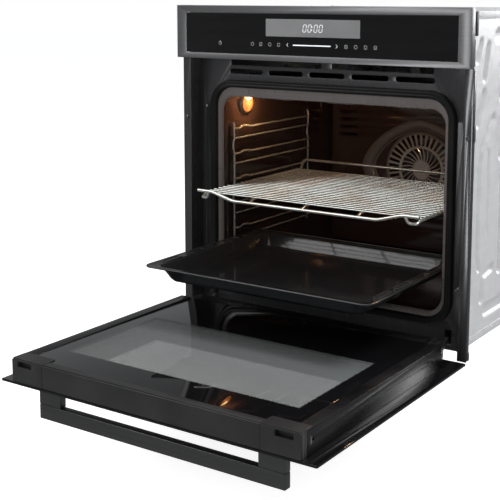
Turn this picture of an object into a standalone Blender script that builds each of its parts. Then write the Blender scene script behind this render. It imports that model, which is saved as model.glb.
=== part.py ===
"""Built-in electric wall oven with its door open and its tray and shelf pulled out.

Drawing frame of the functions below, in metres:
  +X to the right, +Y to the back, +Z up;
  x = 0 is the middle, y = 0 the front face of the side flanges, z = 0 their lower end.
The whole oven hangs on one empty, which puts the model's origin at the middle of the
housing's underside.  The door's pieces hang on an empty on the hinge axis.
"""
import math

import bmesh
import bpy
from mathutils import Matrix, Vector

# ---------------------------------------------------------------- driving sizes
FRONT_WIDTH = 0.595          # over the side flanges
FRONT_HEIGHT = 0.594         # lower end of the flanges to the top of the control panel
PANEL_HEIGHT = 0.0985        # control panel
PANEL_DEPTH = 0.0186         # control panel stands this far in front of the flanges
PANEL_BORDER = 0.0220        # steel beside the control glass
FLANGE_WIDTH = 0.0165
FLANGE_OVERHANG = 0.0190     # flange past the housing, which stands in a 560 mm niche
HOUSING_BASE_Z = 0.012
HOUSING_DROP = 0.007         # top of the control panel to the top of the housing
HOUSING_BACK_Y = 0.547
SHEET = 0.0008               # housing and frame sheet
FIT = 0.0004                 # gap between pieces that touch
DOOR_FIT = 0.003             # gap under the control panel and over the floor line

RECESS_DEPTH = 0.035         # the plate round the cavity lies this far behind the flanges
WALL_SPACE = 0.0445          # housing's outside to the cavity's inside, at each side
CAVITY_FLOOR_Z = 0.064
CAVITY_HEADROOM = 0.169      # cavity ceiling to the top of the control panel
CAVITY_BACK_Y = 0.478
LINER_WALL = 0.0008
MOUTH_STEP = 0.002           # the mouth is this much narrower than the cavity, at each side
MOUTH_SILL = 0.002           # and this much higher than the cavity floor
MOUTH_DROP = 0.004           # and this much lower than the ceiling
MOUTH_RADIUS = 0.028
LIP = 0.0085                 # liner's front flange round the mouth, at the sides
LIP_TOP = 0.0175             # the same at the top
GASKET_WIDTH = 0.014
GASKET_DEPTH = 0.0098
INSULATION = 0.022

COVER_Y = 0.437              # front of the fan cover
COVER_INSET = 0.016          # fan cover's edge to the cavity wall
FAN_RADIUS = 0.066
FAN_SLOT_RADIUS = 0.076
FAN_SLOTS = 28
RING_HEATER_RADIUS = 0.088
LAMP_Y = 0.118
LAMP_DROP = 0.024            # cavity ceiling to the middle of a lamp
LAMP_RADIUS = 0.020
GLAND_X = 0.185
GLAND_DROP = 0.064           # top of the control panel to the cord gland
GLAND_RADIUS = 0.011

RACK_LEVELS = 5
RACK_FIRST_RISE = 0.072      # cavity floor to the lower wire of the lowest level
RACK_HEADROOM = 0.0405
RACK_GAP = 0.019             # lower to upper wire of one level
RACK_FRONT_Y = 0.072
RACK_REAR_Y = 0.350
RACK_WIRE = 0.0044
RACK_POST = 0.0046
RACK_STANDOFF = 0.009        # cavity wall to the middle of the runner wires

TRAY_LENGTH = 0.370
TRAY_DEPTH = 0.030
TRAY_FRONT_Y = -0.216        # pulled out
TRAY_SHEET = 0.0012
SHELF_FRONT_Y = -0.048       # pulled out
SHELF_LENGTH = 0.360
SHELF_BAR = 0.006
SHELF_WIRE = 0.0030
SHELF_SUPPORT = 0.0042
SHELF_WIRES = 23
WELD = 0.0011                # how deep crossing wires sink into each other

PIVOT_Y = -0.0055
PIVOT_Z = 0.0085
DOOR_GLASS = 0.004
DOOR_SIDE_GAP = 0.009        # recess wall to the door's inner body
DOOR_BODY_DEPTH = 0.0390     # outer glass to the face that meets the gasket
DOOR_FRONT_OFFSET = 0.0135   # outer face to the hinge axis
HINGE_INSET = 0.024          # side of the door's body to the middle of the hinge
HINGE_WIDTH = 0.016
HINGE_LENGTH = 0.215
HINGE_BOSS = 0.0055
HINGE_WALL = 0.0015
PIN_RADIUS = 0.0024

HANDLE_LENGTH = 0.468
HANDLE_BAR_DEPTH = 0.0240
HANDLE_BAR_HEIGHT = 0.0140
HANDLE_GAP = 0.032           # finger gap between bar and door
HANDLE_POST_WIDTH = 0.045
HANDLE_INSET = 0.0215        # door's top edge to the bar

# ---------------------------------------------------------------- derived places
HALF_FRONT = FRONT_WIDTH / 2
HALF_RECESS = HALF_FRONT - FLANGE_WIDTH
HALF_HOUSING = HALF_FRONT - FLANGE_OVERHANG
PANEL_BOTTOM_Z = FRONT_HEIGHT - PANEL_HEIGHT
HOUSING_TOP_Z = FRONT_HEIGHT - HOUSING_DROP
HOUSING_FRONT_Y = RECESS_DEPTH + SHEET + FIT
HOUSING_MID_Y = (HOUSING_FRONT_Y + HOUSING_BACK_Y) / 2
SCREW_X = HALF_FRONT - FLANGE_WIDTH / 2 + 0.0005
SCREW_Z = 0.64 * FRONT_HEIGHT

HALF_CAVITY = HALF_HOUSING - WALL_SPACE
CAVITY_CEILING_Z = FRONT_HEIGHT - CAVITY_HEADROOM
HALF_MOUTH = HALF_CAVITY - MOUTH_STEP
MOUTH_TOP_Z = CAVITY_CEILING_Z - MOUTH_DROP
MOUTH_BOTTOM_Z = CAVITY_FLOOR_Z + MOUTH_SILL
LIP_HALF = HALF_MOUTH + LIP
LIP_TOP_Z = MOUTH_TOP_Z + LIP_TOP
LIP_BOTTOM_Z = MOUTH_BOTTOM_Z - LIP
GASKET_HALF = LIP_HALF + FIT + GASKET_WIDTH / 2
GASKET_TOP_Z = LIP_TOP_Z + FIT + GASKET_WIDTH / 2
GASKET_BOTTOM_Z = LIP_BOTTOM_Z - FIT - GASKET_WIDTH / 2

FAN_Z = (CAVITY_FLOOR_Z + CAVITY_CEILING_Z) / 2 - 0.0015
LAMP_Z = CAVITY_CEILING_Z - LAMP_DROP
GLAND_Z = FRONT_HEIGHT - GLAND_DROP
RACK_FIRST_Z = CAVITY_FLOOR_Z + RACK_FIRST_RISE
RACK_PITCH = (CAVITY_CEILING_Z - RACK_HEADROOM - RACK_FIRST_Z) / RACK_LEVELS
RUNNER_X = HALF_CAVITY - RACK_STANDOFF
POST_X = RUNNER_X + RACK_WIRE / 2 + RACK_POST / 2 - 0.0003
HALF_TRAY = POST_X - RACK_POST / 2 - 0.0006
SHELF_LEVEL = 2
SHELF_RAIL_X = HALF_TRAY - SHELF_BAR / 2 - 0.0003

DOOR_Z = PIVOT_Z - DOOR_FRONT_OFFSET             # outer face of the open door
DOOR_TOP_Y = PIVOT_Y - (PANEL_BOTTOM_Z - DOOR_FIT - PIVOT_Z)
DOOR_BOTTOM_Y = PIVOT_Y + (PIVOT_Z - DOOR_FIT - 0.001)
BODY_Z0 = DOOR_Z + DOOR_GLASS + FIT
BODY_Z1 = DOOR_Z + DOOR_GLASS + DOOR_BODY_DEPTH
HALF_BODY = HALF_RECESS - DOOR_SIDE_GAP
HINGE_X = HALF_BODY - HINGE_INSET
RECEIVER_END_Y = HOUSING_FRONT_Y + 0.0554
RECEIVER_TOP_Z = HOUSING_BASE_Z + 0.034
ROD_Z = PIVOT_Z + 0.008
DUCT_BOTTOM_Z = CAVITY_CEILING_Z + LINER_WALL + INSULATION + 0.010
DUCT_HEIGHT = 0.036
DUCT_BACK_Y = 0.235
BLOWER_Y = DUCT_BACK_Y + 0.095

SIDES = (("left", -1), ("right", 1))


# ---------------------------------------------------------------- helpers
def clear_scene():
    for item in list(bpy.data.objects):
        bpy.data.objects.remove(item)


def material(name, colour, roughness, metallic=0.0):
    mat = bpy.data.materials.get(name) or bpy.data.materials.new(name)
    mat.use_nodes = True
    shader = mat.node_tree.nodes["Principled BSDF"]
    shader.inputs["Base Color"].default_value = (*colour, 1.0)
    shader.inputs["Roughness"].default_value = roughness
    shader.inputs["Metallic"].default_value = metallic
    return mat


def make_materials():
    return {
        "dark_steel": material("dark_steel", (0.10, 0.10, 0.105), 0.35, 0.9),
        "black_glass": material("black_glass", (0.006, 0.006, 0.007), 0.05),
        "display": material("display", (0.16, 0.16, 0.17), 0.3),
        "black_paint": material("black_paint", (0.02, 0.02, 0.022), 0.4),
        "galvanised": material("galvanised", (0.66, 0.67, 0.68), 0.35, 0.9),
        "enamel": material("enamel", (0.035, 0.022, 0.020), 0.15),
        "tray_enamel": material("tray_enamel", (0.02, 0.021, 0.024), 0.12),
        "chrome": material("chrome", (0.75, 0.74, 0.72), 0.15, 1.0),
        "steel": material("steel", (0.55, 0.55, 0.55), 0.3, 1.0),
        "rubber": material("rubber", (0.025, 0.025, 0.026), 0.6),
        "plastic": material("plastic", (0.02, 0.02, 0.021), 0.45),
        "wool": material("wool", (0.72, 0.66, 0.42), 0.95),
        "board": material("board", (0.02, 0.16, 0.07), 0.5),
        "glass": material("glass", (0.55, 0.57, 0.58), 0.03),
        "lamp": material("lamp", (0.95, 0.80, 0.50), 0.2),
    }


def mesh_from(bm, name):
    mesh = bpy.data.meshes.new(name)
    bm.to_mesh(mesh)
    bm.free()
    return mesh


def add_node(name, mesh, finish, parent, smooth=True):
    """One named solid of the oven; its mesh is in the drawing frame and is moved to its middle."""
    centre = sum((v.co for v in mesh.vertices), Vector()) / len(mesh.vertices)
    if parent is not OVEN:
        centre = Vector(parent["at"])
    mesh.transform(Matrix.Translation(-centre))
    node = bpy.data.objects.new(name, mesh)
    mesh.materials.append(FINISH[finish])
    if smooth:
        mesh.shade_smooth()
        mesh.set_sharp_from_angle(angle=math.radians(35))
    PARTS.objects.link(node)
    node.parent = parent
    node.location = centre - Vector(parent["at"])
    return node


def add_cutter(node, mesh, operation="DIFFERENCE"):
    """A hidden helper in the drawing frame, applied to the node by a Boolean."""
    cutter = bpy.data.objects.new(node.name + "_helper", mesh)
    HELPERS.objects.link(cutter)
    cutter.parent = OVEN
    cutter.hide_render = True
    cutter.display_type = "WIRE"
    boolean = node.modifiers.new(operation.lower(), "BOOLEAN")
    boolean.operation = operation
    boolean.object = cutter
    boolean.solver = "EXACT"
    boolean.use_self = True
    return cutter


def add_empty(name, at, parent=None):
    empty = bpy.data.objects.new(name, None)
    PARTS.objects.link(empty)
    empty["at"] = at
    empty.parent = parent
    empty.location = Vector(at) - Vector(parent["at"]) if parent else -Vector(ORIGIN)
    return empty


def box_bm(x, y, z, bm=None):
    """A box between the given ends, added to a bmesh."""
    bm = bm or bmesh.new()
    made = bmesh.ops.create_cube(bm, size=1.0)["verts"]
    size = Vector((x[1] - x[0], y[1] - y[0], z[1] - z[0]))
    middle = Vector((x[0] + x[1], y[0] + y[1], z[0] + z[1])) / 2
    bmesh.ops.scale(bm, vec=size, verts=made)
    bmesh.ops.translate(bm, vec=middle, verts=made)
    return bm


def boxes(name, *ranges):
    """A mesh of several boxes, each given as its x, y and z ends."""
    bm = bmesh.new()
    for x, y, z in ranges:
        box_bm(x, y, z, bm)
    return mesh_from(bm, name)


def rod_bm(start, end, radius, bm=None, segments=16, end_radius=None):
    """A round bar, or a cone, from one point to another."""
    bm = bm or bmesh.new()
    start, end = Vector(start), Vector(end)
    axis = end - start
    turn = axis.to_track_quat("Z", "X").to_matrix().to_4x4()
    place = Matrix.Translation((start + end) / 2) @ turn
    bmesh.ops.create_cone(bm, cap_ends=True, segments=segments, radius1=radius,
                          radius2=radius if end_radius is None else end_radius,
                          depth=axis.length, matrix=place)
    return bm


def rounded_outline(x0, x1, z0, z1, radius, steps=5):
    """Points of a rectangle with round corners, anticlockwise seen from the front."""
    points = []
    corners = ((x1 - radius, z1 - radius, 0), (x0 + radius, z1 - radius, 90),
               (x0 + radius, z0 + radius, 180), (x1 - radius, z0 + radius, 270))
    for cx, cz, start in corners:
        for i in range(steps + 1):
            a = math.radians(start + 90 * i / steps)
            points.append((cx + radius * math.cos(a), cz + radius * math.sin(a)))
    return points


def prism_bm(points, low, high, axis="Y", bm=None):
    """Extrudes a closed outline along an axis: (x, z) outlines along Y, (y, z) ones along X."""
    bm = bm or bmesh.new()
    if axis == "Y":
        verts = [bm.verts.new((u, low, w)) for u, w in points]
        step = Vector((0, high - low, 0))
    elif axis == "X":
        verts = [bm.verts.new((low, u, w)) for u, w in points]
        step = Vector((high - low, 0, 0))
    else:
        verts = [bm.verts.new((u, w, low)) for u, w in points]
        step = Vector((0, 0, high - low))
    face = bm.faces.new(verts)
    side = bmesh.ops.extrude_face_region(bm, geom=[face])
    moved = [g for g in side["geom"] if isinstance(g, bmesh.types.BMVert)]
    bmesh.ops.translate(bm, vec=step, verts=moved)
    bmesh.ops.recalc_face_normals(bm, faces=bm.faces)
    return bm


def tube_mesh(name, points, radius, cyclic=False, resolution=2):
    """A bent round bar as a closed mesh."""
    curve = bpy.data.curves.new(name, "CURVE")
    curve.dimensions = "3D"
    curve.bevel_depth = radius
    curve.bevel_resolution = resolution
    curve.use_fill_caps = True
    curve.render_resolution_u = 0
    spline = curve.splines.new("POLY")
    spline.points.add(len(points) - 1)
    for slot, point in zip(spline.points, points):
        slot.co = (*point, 1.0)
    spline.use_cyclic_u = cyclic
    guide = bpy.data.objects.new(name + "_guide", curve)
    HELPERS.objects.link(guide)
    graph = bpy.context.evaluated_depsgraph_get()
    mesh = bpy.data.meshes.new_from_object(guide.evaluated_get(graph))
    bpy.data.objects.remove(guide)
    bm = bmesh.new()
    bm.from_mesh(mesh)
    bmesh.ops.remove_doubles(bm, verts=bm.verts, dist=1e-6)
    bmesh.ops.recalc_face_normals(bm, faces=bm.faces)
    bm.to_mesh(mesh)
    bm.free()
    return mesh


def join_meshes(name, meshes):
    bm = bmesh.new()
    for mesh in meshes:
        bm.from_mesh(mesh)
    return mesh_from(bm, name)


def add_wirework(name, meshes, finish, parent):
    """Wires welded into one body: the first wire united with all the others."""
    node = add_node(name, meshes[0], finish, parent)
    add_cutter(node, join_meshes(name + "_wires", meshes[1:]), "UNION")
    return node


def corner(centre, radius, start, sweep, steps):
    """Points of an arc in a plane, as pairs."""
    return [(centre[0] + radius * math.cos(math.radians(start + sweep * i / steps)),
             centre[1] + radius * math.sin(math.radians(start + sweep * i / steps)))
            for i in range(steps + 1)]


# ---------------------------------------------------------------- front
def make_control_panel():
    glass_half = HALF_FRONT - PANEL_BORDER
    glass_z0, glass_z1 = PANEL_BOTTOM_Z + 0.0105, FRONT_HEIGHT - 0.0130
    front, wall = -PANEL_DEPTH, 0.0015
    back = -FIT
    panel = add_node("control_panel_frame", boxes("panel", (
        (-HALF_FRONT, HALF_FRONT), (front, back), (PANEL_BOTTOM_Z, FRONT_HEIGHT))),
        "dark_steel", OVEN, smooth=False)
    hollow = boxes("panel_hollow", (
        (-HALF_FRONT + wall, HALF_FRONT - wall), (front + wall, 0.01),
        (PANEL_BOTTOM_Z + wall, FRONT_HEIGHT - wall)))
    add_cutter(panel, hollow)
    add_cutter(panel, boxes("panel_window", (
        (-glass_half, glass_half), (front - 0.01, front + 0.01), (glass_z0, glass_z1))))
    gap = 0.0003
    add_node("control_glass", boxes("glass", (
        (-glass_half + gap, glass_half - gap), (front + 0.0003, front + 0.0043),
        (glass_z0 + gap, glass_z1 - gap))), "black_glass", OVEN, smooth=False)
    glass_back = front + 0.0043 + FIT
    add_node("display_module", boxes("display", (
        (-0.100, 0.100), (glass_back, glass_back + 0.006), (glass_z1 - 0.043, glass_z1 - 0.009))),
        "display", OVEN, smooth=False)
    board_y = glass_back + 0.006 + FIT
    board = bmesh.new()
    board_half, board_z0 = glass_half - 0.0605, glass_z0 + 0.006
    box_bm((-board_half, board_half), (board_y, board_y + 0.0016), (board_z0, glass_z1 - 0.007), board)
    mesh = mesh_from(board, "board")
    node = add_node("control_board", mesh, "board", OVEN, smooth=False)
    chips = [((x, x + 0.018), (board_y + 0.001, board_y + 0.005), (board_z0 + 0.016, board_z0 + 0.034))
             for x in (-0.16, -0.08, 0.02, 0.12)]
    add_cutter(node, boxes("chips", *chips), "UNION")


def vent_openings():
    """Two long openings under the panel and five short round-ended slots below them."""
    bm = bmesh.new()
    y0, y1 = RECESS_DEPTH - 0.01, RECESS_DEPTH + 0.01
    top = PANEL_BOTTOM_Z - 0.0035
    for x0, x1 in ((-0.2095, -0.0109), (0.0109, 0.2095)):
        prism_bm(rounded_outline(x0, x1, top - 0.011, top, 0.003, 2), y0, y1, "Y", bm)
    slots, width, pitch, height, z = 5, 0.0734, 0.0876, 0.0095, top - 0.0275
    for i in range(slots):
        middle = (i - (slots - 1) / 2) * pitch
        outline = rounded_outline(middle - width / 2, middle + width / 2, z, z + height, height * 0.45, 3)
        prism_bm(outline, y0, y1, "Y", bm)
    return mesh_from(bm, "vents")


def make_front_frame():
    """Side flanges, recess walls and the plate round the cavity, pressed from one sheet."""
    half = HALF_RECESS
    flange_top = PANEL_BOTTOM_Z - 0.0005
    y1 = RECESS_DEPTH + SHEET
    frame = add_node("front_frame", boxes("plate", (
        (-half, half), (RECESS_DEPTH, y1), (0.004, HOUSING_TOP_Z))), "dark_steel", OVEN, smooth=False)
    walls = []
    for side in (-1, 1):
        inner, outer = sorted((side * (half - SHEET), side * half))
        edge = sorted((side * (half - SHEET), side * HALF_FRONT))
        walls.append(((inner, outer), (0.0, RECESS_DEPTH + SHEET / 2), (0.0, HOUSING_TOP_Z)))
        walls.append((edge, (0.0, SHEET), (0.0, flange_top)))
    add_cutter(frame, boxes("walls", walls[0], walls[1]), "UNION")
    add_cutter(frame, boxes("walls", walls[2], walls[3]), "UNION")
    opening = rounded_outline(-LIP_HALF - FIT, LIP_HALF + FIT, LIP_BOTTOM_Z - FIT, LIP_TOP_Z + FIT,
                              MOUTH_RADIUS + LIP)
    add_cutter(frame, mesh_from(prism_bm(opening, RECESS_DEPTH - 0.01, RECESS_DEPTH + 0.01), "mouth"))
    add_cutter(frame, vent_openings())
    slots = bmesh.new()
    for _, side in SIDES:
        x = sorted((side * (HINGE_X - 0.006), side * (HINGE_X + 0.006)))
        box_bm(x, (RECESS_DEPTH - 0.01, RECESS_DEPTH + 0.01), (0.0125, 0.040), slots)
        rod_bm((side * SCREW_X, -0.01, SCREW_Z), (side * SCREW_X, 0.01, SCREW_Z), 0.0025, slots)
    add_cutter(frame, mesh_from(slots, "frame_holes"))


def make_mounting_screws():
    for word, side in SIDES:
        x, z = side * SCREW_X, SCREW_Z
        screw = rod_bm((x, -0.0025, z), (x, -FIT, z), 0.0038, segments=16, end_radius=0.0045)
        node = add_node("mounting_screw_" + word, mesh_from(screw, "screw"), "steel", OVEN)
        shank = rod_bm((x, -0.001, z), (x, 0.012, z), 0.0019)
        add_cutter(node, mesh_from(shank, "shank"), "UNION")
        cross = boxes("cross", ((x - 0.0022, x + 0.0022), (-0.004, -0.0012), (z - 0.0004, z + 0.0004)),)
        add_cutter(node, cross)


# ---------------------------------------------------------------- housing
def make_housing():
    y0, y1 = HOUSING_FRONT_Y, HOUSING_BACK_Y
    z0, z1 = HOUSING_BASE_Z, HOUSING_TOP_Z
    inner = HALF_HOUSING - SHEET
    for word, side in SIDES:
        x = sorted((side * inner, side * HALF_HOUSING))
        fold = sorted((side * (inner - 0.012), side * (inner + SHEET / 2)))
        panel = add_node("housing_side_" + word, boxes("side", (
            x, (y0, y1 - SHEET - FIT), (z0 + SHEET + FIT, z1 - SHEET - FIT))),
            "galvanised", OVEN, smooth=False)
        add_cutter(panel, boxes("fold", (
            fold, (y0, y0 + SHEET), (z0 + 0.05, z1 - 0.05))), "UNION")
        add_cutter(panel, boxes("side_slot", (
            (side * HALF_HOUSING - 0.01, side * HALF_HOUSING + 0.01),
            (y0 + 0.006, y0 + 0.013), (HOUSING_TOP_Z - 0.089, HOUSING_TOP_Z - 0.044))))
    add_node("housing_base", boxes("base", (
        (-HALF_HOUSING, HALF_HOUSING), (y0, y1), (z0, z0 + SHEET))), "galvanised", OVEN, smooth=False)
    top = add_node("housing_top", boxes("top", (
        (-HALF_HOUSING, HALF_HOUSING), (y0, y1), (z1 - SHEET, z1))), "galvanised", OVEN, smooth=False)
    slots = bmesh.new()
    for i in range(6):
        x = -0.075 + 0.030 * i
        box_bm((x - 0.005, x + 0.005), (y1 - 0.117, y1 - 0.047), (z1 - 0.01, z1 + 0.01), slots)
    add_cutter(top, mesh_from(slots, "top_slots"))
    back = add_node("housing_back", boxes("back", (
        (-HALF_HOUSING, HALF_HOUSING), (y1 - SHEET, y1), (z0 + SHEET + FIT, z1 - SHEET - FIT))),
        "galvanised", OVEN, smooth=False)
    holes = bmesh.new()
    rod_bm((GLAND_X, y1 - 0.01, GLAND_Z), (GLAND_X, y1 + 0.01, GLAND_Z), GLAND_RADIUS + FIT, holes)
    for i in range(5):
        low = HOUSING_TOP_Z - 0.087 + 0.014 * i
        box_bm((-0.09, 0.09), (y1 - 0.01, y1 + 0.01), (low, low + 0.006), holes)
    add_cutter(back, mesh_from(holes, "back_holes"))


def make_insulation():
    gap = 0.001
    half = HALF_CAVITY + LINER_WALL + gap
    floor_gap = 0.012
    z0, z1 = CAVITY_FLOOR_Z - LINER_WALL - floor_gap, CAVITY_CEILING_Z + LINER_WALL + gap
    y0, y1 = RECESS_DEPTH + SHEET + 0.004, CAVITY_BACK_Y + LINER_WALL
    outer = min(half + INSULATION, HALF_HOUSING - SHEET - 0.002)
    wrap = add_node("insulation_wrap", boxes("wrap", (
        (-outer, outer), (y0, y1), (z0 - INSULATION, z1 + INSULATION))), "wool", OVEN, smooth=False)
    add_cutter(wrap, boxes("wrap_hollow", ((-half, half), (y0 - 0.01, y1 + 0.01), (z0, z1))))
    lamp = rod_bm((-HALF_HOUSING, LAMP_Y, LAMP_Z), (HALF_HOUSING, LAMP_Y, LAMP_Z), LAMP_RADIUS + 0.004)
    add_cutter(wrap, mesh_from(lamp, "lamp_way"))
    relief = bmesh.new()
    for _, side in SIDES:
        x = sorted((side * (HINGE_X - 0.012), side * (HINGE_X + 0.012)))
        relief_z = (z0 - INSULATION - 0.01, RECEIVER_TOP_Z + 0.003)
        box_bm(x, (y0 - 0.01, RECEIVER_END_Y + 0.003), relief_z, relief)
    add_cutter(wrap, mesh_from(relief, "hinge_ways"))
    back_y = y1 + gap
    back = add_node("insulation_back", boxes("wool_back", (
        (-half, half), (back_y, back_y + INSULATION * 0.8), (z0, z1))), "wool", OVEN, smooth=False)
    way = rod_bm((0, back_y - 0.01, FAN_Z), (0, back_y + 0.03, FAN_Z), 0.050, segments=24)
    add_cutter(back, mesh_from(way, "motor_way"))


# ---------------------------------------------------------------- cavity
def make_cavity():
    """Enamelled box, open at the front, with a flange that fills the frame plate's opening."""
    wall = LINER_WALL
    half = HALF_CAVITY + wall
    lip_y0, body_y0, y1 = RECESS_DEPTH - SHEET, HOUSING_FRONT_Y, CAVITY_BACK_Y + wall
    lip_y1 = body_y0 + SHEET / 2
    body = rounded_outline(-half, half, CAVITY_FLOOR_Z - wall, CAVITY_CEILING_Z + wall, 0.014, 3)
    liner = add_node("cavity_liner", mesh_from(prism_bm(body, body_y0, y1), "liner"), "enamel", OVEN)
    lip = rounded_outline(-LIP_HALF, LIP_HALF, LIP_BOTTOM_Z, LIP_TOP_Z, MOUTH_RADIUS + LIP)
    add_cutter(liner, mesh_from(prism_bm(lip, lip_y0, lip_y1), "lip"), "UNION")
    inside = rounded_outline(-HALF_CAVITY, HALF_CAVITY, CAVITY_FLOOR_Z, CAVITY_CEILING_Z, 0.013, 3)
    add_cutter(liner, mesh_from(prism_bm(inside, lip_y1 - SHEET / 6, CAVITY_BACK_Y), "inside"))
    mouth = rounded_outline(-HALF_MOUTH, HALF_MOUTH, MOUTH_BOTTOM_Z, MOUTH_TOP_Z, MOUTH_RADIUS)
    add_cutter(liner, mesh_from(prism_bm(mouth, lip_y0 - 0.01, lip_y1 + 0.01), "mouth_way"))
    holes = rod_bm((0, CAVITY_BACK_Y - 0.01, FAN_Z), (0, y1 + 0.01, FAN_Z), 0.006)
    for _, side in SIDES:
        rod_bm((side * half - 0.01, LAMP_Y, LAMP_Z), (side * half + 0.01, LAMP_Y, LAMP_Z),
               LAMP_RADIUS + FIT, holes)
    add_cutter(liner, mesh_from(holes, "liner_holes"))


def make_gasket():
    """Soft ring round the mouth, on the frame plate."""
    outline = rounded_outline(-GASKET_HALF, GASKET_HALF, GASKET_BOTTOM_Z, GASKET_TOP_Z,
                              MOUTH_RADIUS + LIP + GASKET_WIDTH / 2, 5)
    y = RECESS_DEPTH - FIT - GASKET_DEPTH / 2
    mesh = tube_mesh("gasket", [(x, 0.0, z) for x, z in outline], GASKET_WIDTH / 2, cyclic=True)
    mesh.transform(Matrix.Scale(GASKET_DEPTH / GASKET_WIDTH, 4, (0, 1, 0)))
    mesh.transform(Matrix.Translation((0, y, 0)))
    add_node("door_gasket", mesh, "rubber", OVEN)


def make_fan_cover():
    """Back panel of the cavity with the fan's radial inlet slots and outlets at both sides."""
    z0, z1 = CAVITY_FLOOR_Z + 0.006, CAVITY_CEILING_Z - 0.012
    half = HALF_CAVITY - COVER_INSET
    cover = add_node("fan_cover", boxes("cover", (
        (-half, half), (COVER_Y, COVER_Y + 0.0015), (z0, z1))), "enamel", OVEN, smooth=False)
    ring = prism_bm(raised_ring_outline(), COVER_Y - 0.006, COVER_Y + 0.001)
    add_cutter(cover, mesh_from(ring, "raised"), "UNION")
    dish = rod_bm((0, COVER_Y - 0.0045, FAN_Z), (0, COVER_Y + 0.01, FAN_Z),
                  FAN_SLOT_RADIUS + 0.006, segments=32)
    add_cutter(cover, mesh_from(dish, "dish"))
    slots = bmesh.new()
    for i in range(FAN_SLOTS):
        turn = Matrix.Translation((0, 0, FAN_Z)) @ Matrix.Rotation(2 * math.pi * i / FAN_SLOTS, 4, "Y")
        made = bmesh.ops.create_cube(slots, size=1.0)["verts"]
        inner = 0.030
        bmesh.ops.scale(slots, vec=(FAN_SLOT_RADIUS - inner, 0.03, 0.0045), verts=made)
        bmesh.ops.translate(slots, vec=((FAN_SLOT_RADIUS + inner) / 2, COVER_Y, 0), verts=made)
        bmesh.ops.transform(slots, matrix=turn, verts=made)
    for side in (-1, 1):
        for i in range(4):
            for low in (FAN_Z + 0.060, FAN_Z - 0.115):
                z = low + 0.0165 * i
                x = sorted((side * (half - 0.063), side * (half - 0.015)))
                box_bm(x, (COVER_Y - 0.01, COVER_Y + 0.01), (z, z + 0.005), slots)
    add_cutter(cover, mesh_from(slots, "cover_slots"))


def raised_ring_outline(steps=40, half_width=0.141, half_height=0.109, power=1.6):
    """Pointed oval round the fan: a superellipse."""
    points = []
    for i in range(steps):
        a = 2 * math.pi * i / steps
        c, s = math.cos(a), math.sin(a)
        points.append((half_width * math.copysign(abs(c) ** (2 / power), c),
                       FAN_Z + half_height * math.copysign(abs(s) ** (2 / power), s)))
    return points


def make_convection():
    y = COVER_Y + 0.006
    depth = CAVITY_BACK_Y - y - 0.006
    wheel = rod_bm((0, y + depth - 0.002, FAN_Z), (0, y + depth, FAN_Z), FAN_RADIUS, segments=28)
    fan = add_node("convection_fan", mesh_from(wheel, "wheel"), "steel", FAN)
    blades = rod_bm((0, y + 0.004, FAN_Z), (0, y + depth - 0.001, FAN_Z), 0.012)
    for i in range(12):
        made = bmesh.ops.create_cube(blades, size=1.0)["verts"]
        bmesh.ops.scale(blades, vec=(0.026, depth - 0.001, 0.0014), verts=made)
        bmesh.ops.rotate(blades, matrix=Matrix.Rotation(math.radians(25), 3, "Y"), verts=made)
        bmesh.ops.translate(blades, vec=(FAN_RADIUS - 0.016, y + (depth - 0.001) / 2, 0), verts=made)
        turn = Matrix.Translation((0, 0, FAN_Z)) @ Matrix.Rotation(2 * math.pi * i / 12, 4, "Y")
        bmesh.ops.transform(blades, matrix=turn, verts=made)
    add_cutter(fan, mesh_from(blades, "blades"), "UNION")
    shaft = rod_bm((0, y + depth - 0.001, FAN_Z), (0, CAVITY_BACK_Y + 0.010, FAN_Z), 0.004)
    add_cutter(fan, mesh_from(shaft, "shaft"), "UNION")

    motor_y = CAVITY_BACK_Y + 0.0115
    motor = rod_bm((0, motor_y, FAN_Z), (0, motor_y + 0.034, FAN_Z), 0.036, segments=24)
    add_node("convection_motor", mesh_from(motor, "motor"), "steel", OVEN)

    ring_y = y + depth / 2
    loop = [(RING_HEATER_RADIUS * math.sin(math.radians(a)), ring_y,
             FAN_Z - RING_HEATER_RADIUS * math.cos(math.radians(a))) for a in range(10, 351, 10)]
    ends = [(p[0], CAVITY_BACK_Y - FIT, p[2]) for p in (loop[0], loop[-1])]
    add_node("ring_heater", tube_mesh("ring", [ends[0], *loop, ends[1]], 0.0035), "steel", OVEN)


def zigzag(half_width, y0, y1, z, runs, turn_radius):
    """Points of a flat heating tube that runs to and fro across the oven."""
    points = []
    step = (y1 - y0) / (runs - 1)
    for i in range(runs):
        y = y0 + step * i
        side = 1 if i % 2 == 0 else -1
        points.append((-side * (half_width - turn_radius), y, z))
        points.append((side * (half_width - turn_radius), y, z))
        if i < runs - 1:
            points.append((side * half_width, y + step * 0.25, z))
            points.append((side * half_width, y + step * 0.75, z))
    return points


def make_heaters():
    grill_z = CAVITY_CEILING_Z - 0.0085
    grill = zigzag(0.175, 0.085, 0.385, grill_z, 6, 0.012)
    grill.append((grill[-1][0] - 0.010, CAVITY_BACK_Y - 0.012, grill_z))
    grill.append((grill[-1][0], CAVITY_BACK_Y - FIT, grill_z))
    add_node("grill_element", tube_mesh("grill", grill, 0.0032, resolution=1), "steel", OVEN)
    low = zigzag(0.190, 0.100, 0.420, CAVITY_FLOOR_Z - LINER_WALL - 0.0055, 4, 0.015)
    add_node("bottom_element", tube_mesh("low_heater", low, 0.0032, resolution=1), "steel", OVEN)
    z = CAVITY_CEILING_Z - 0.0055
    probe = tube_mesh("probe", [(0.195, 0.372, z), (0.195, CAVITY_BACK_Y - FIT, z)], 0.0024)
    add_node("temperature_probe", probe, "steel", OVEN)


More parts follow.
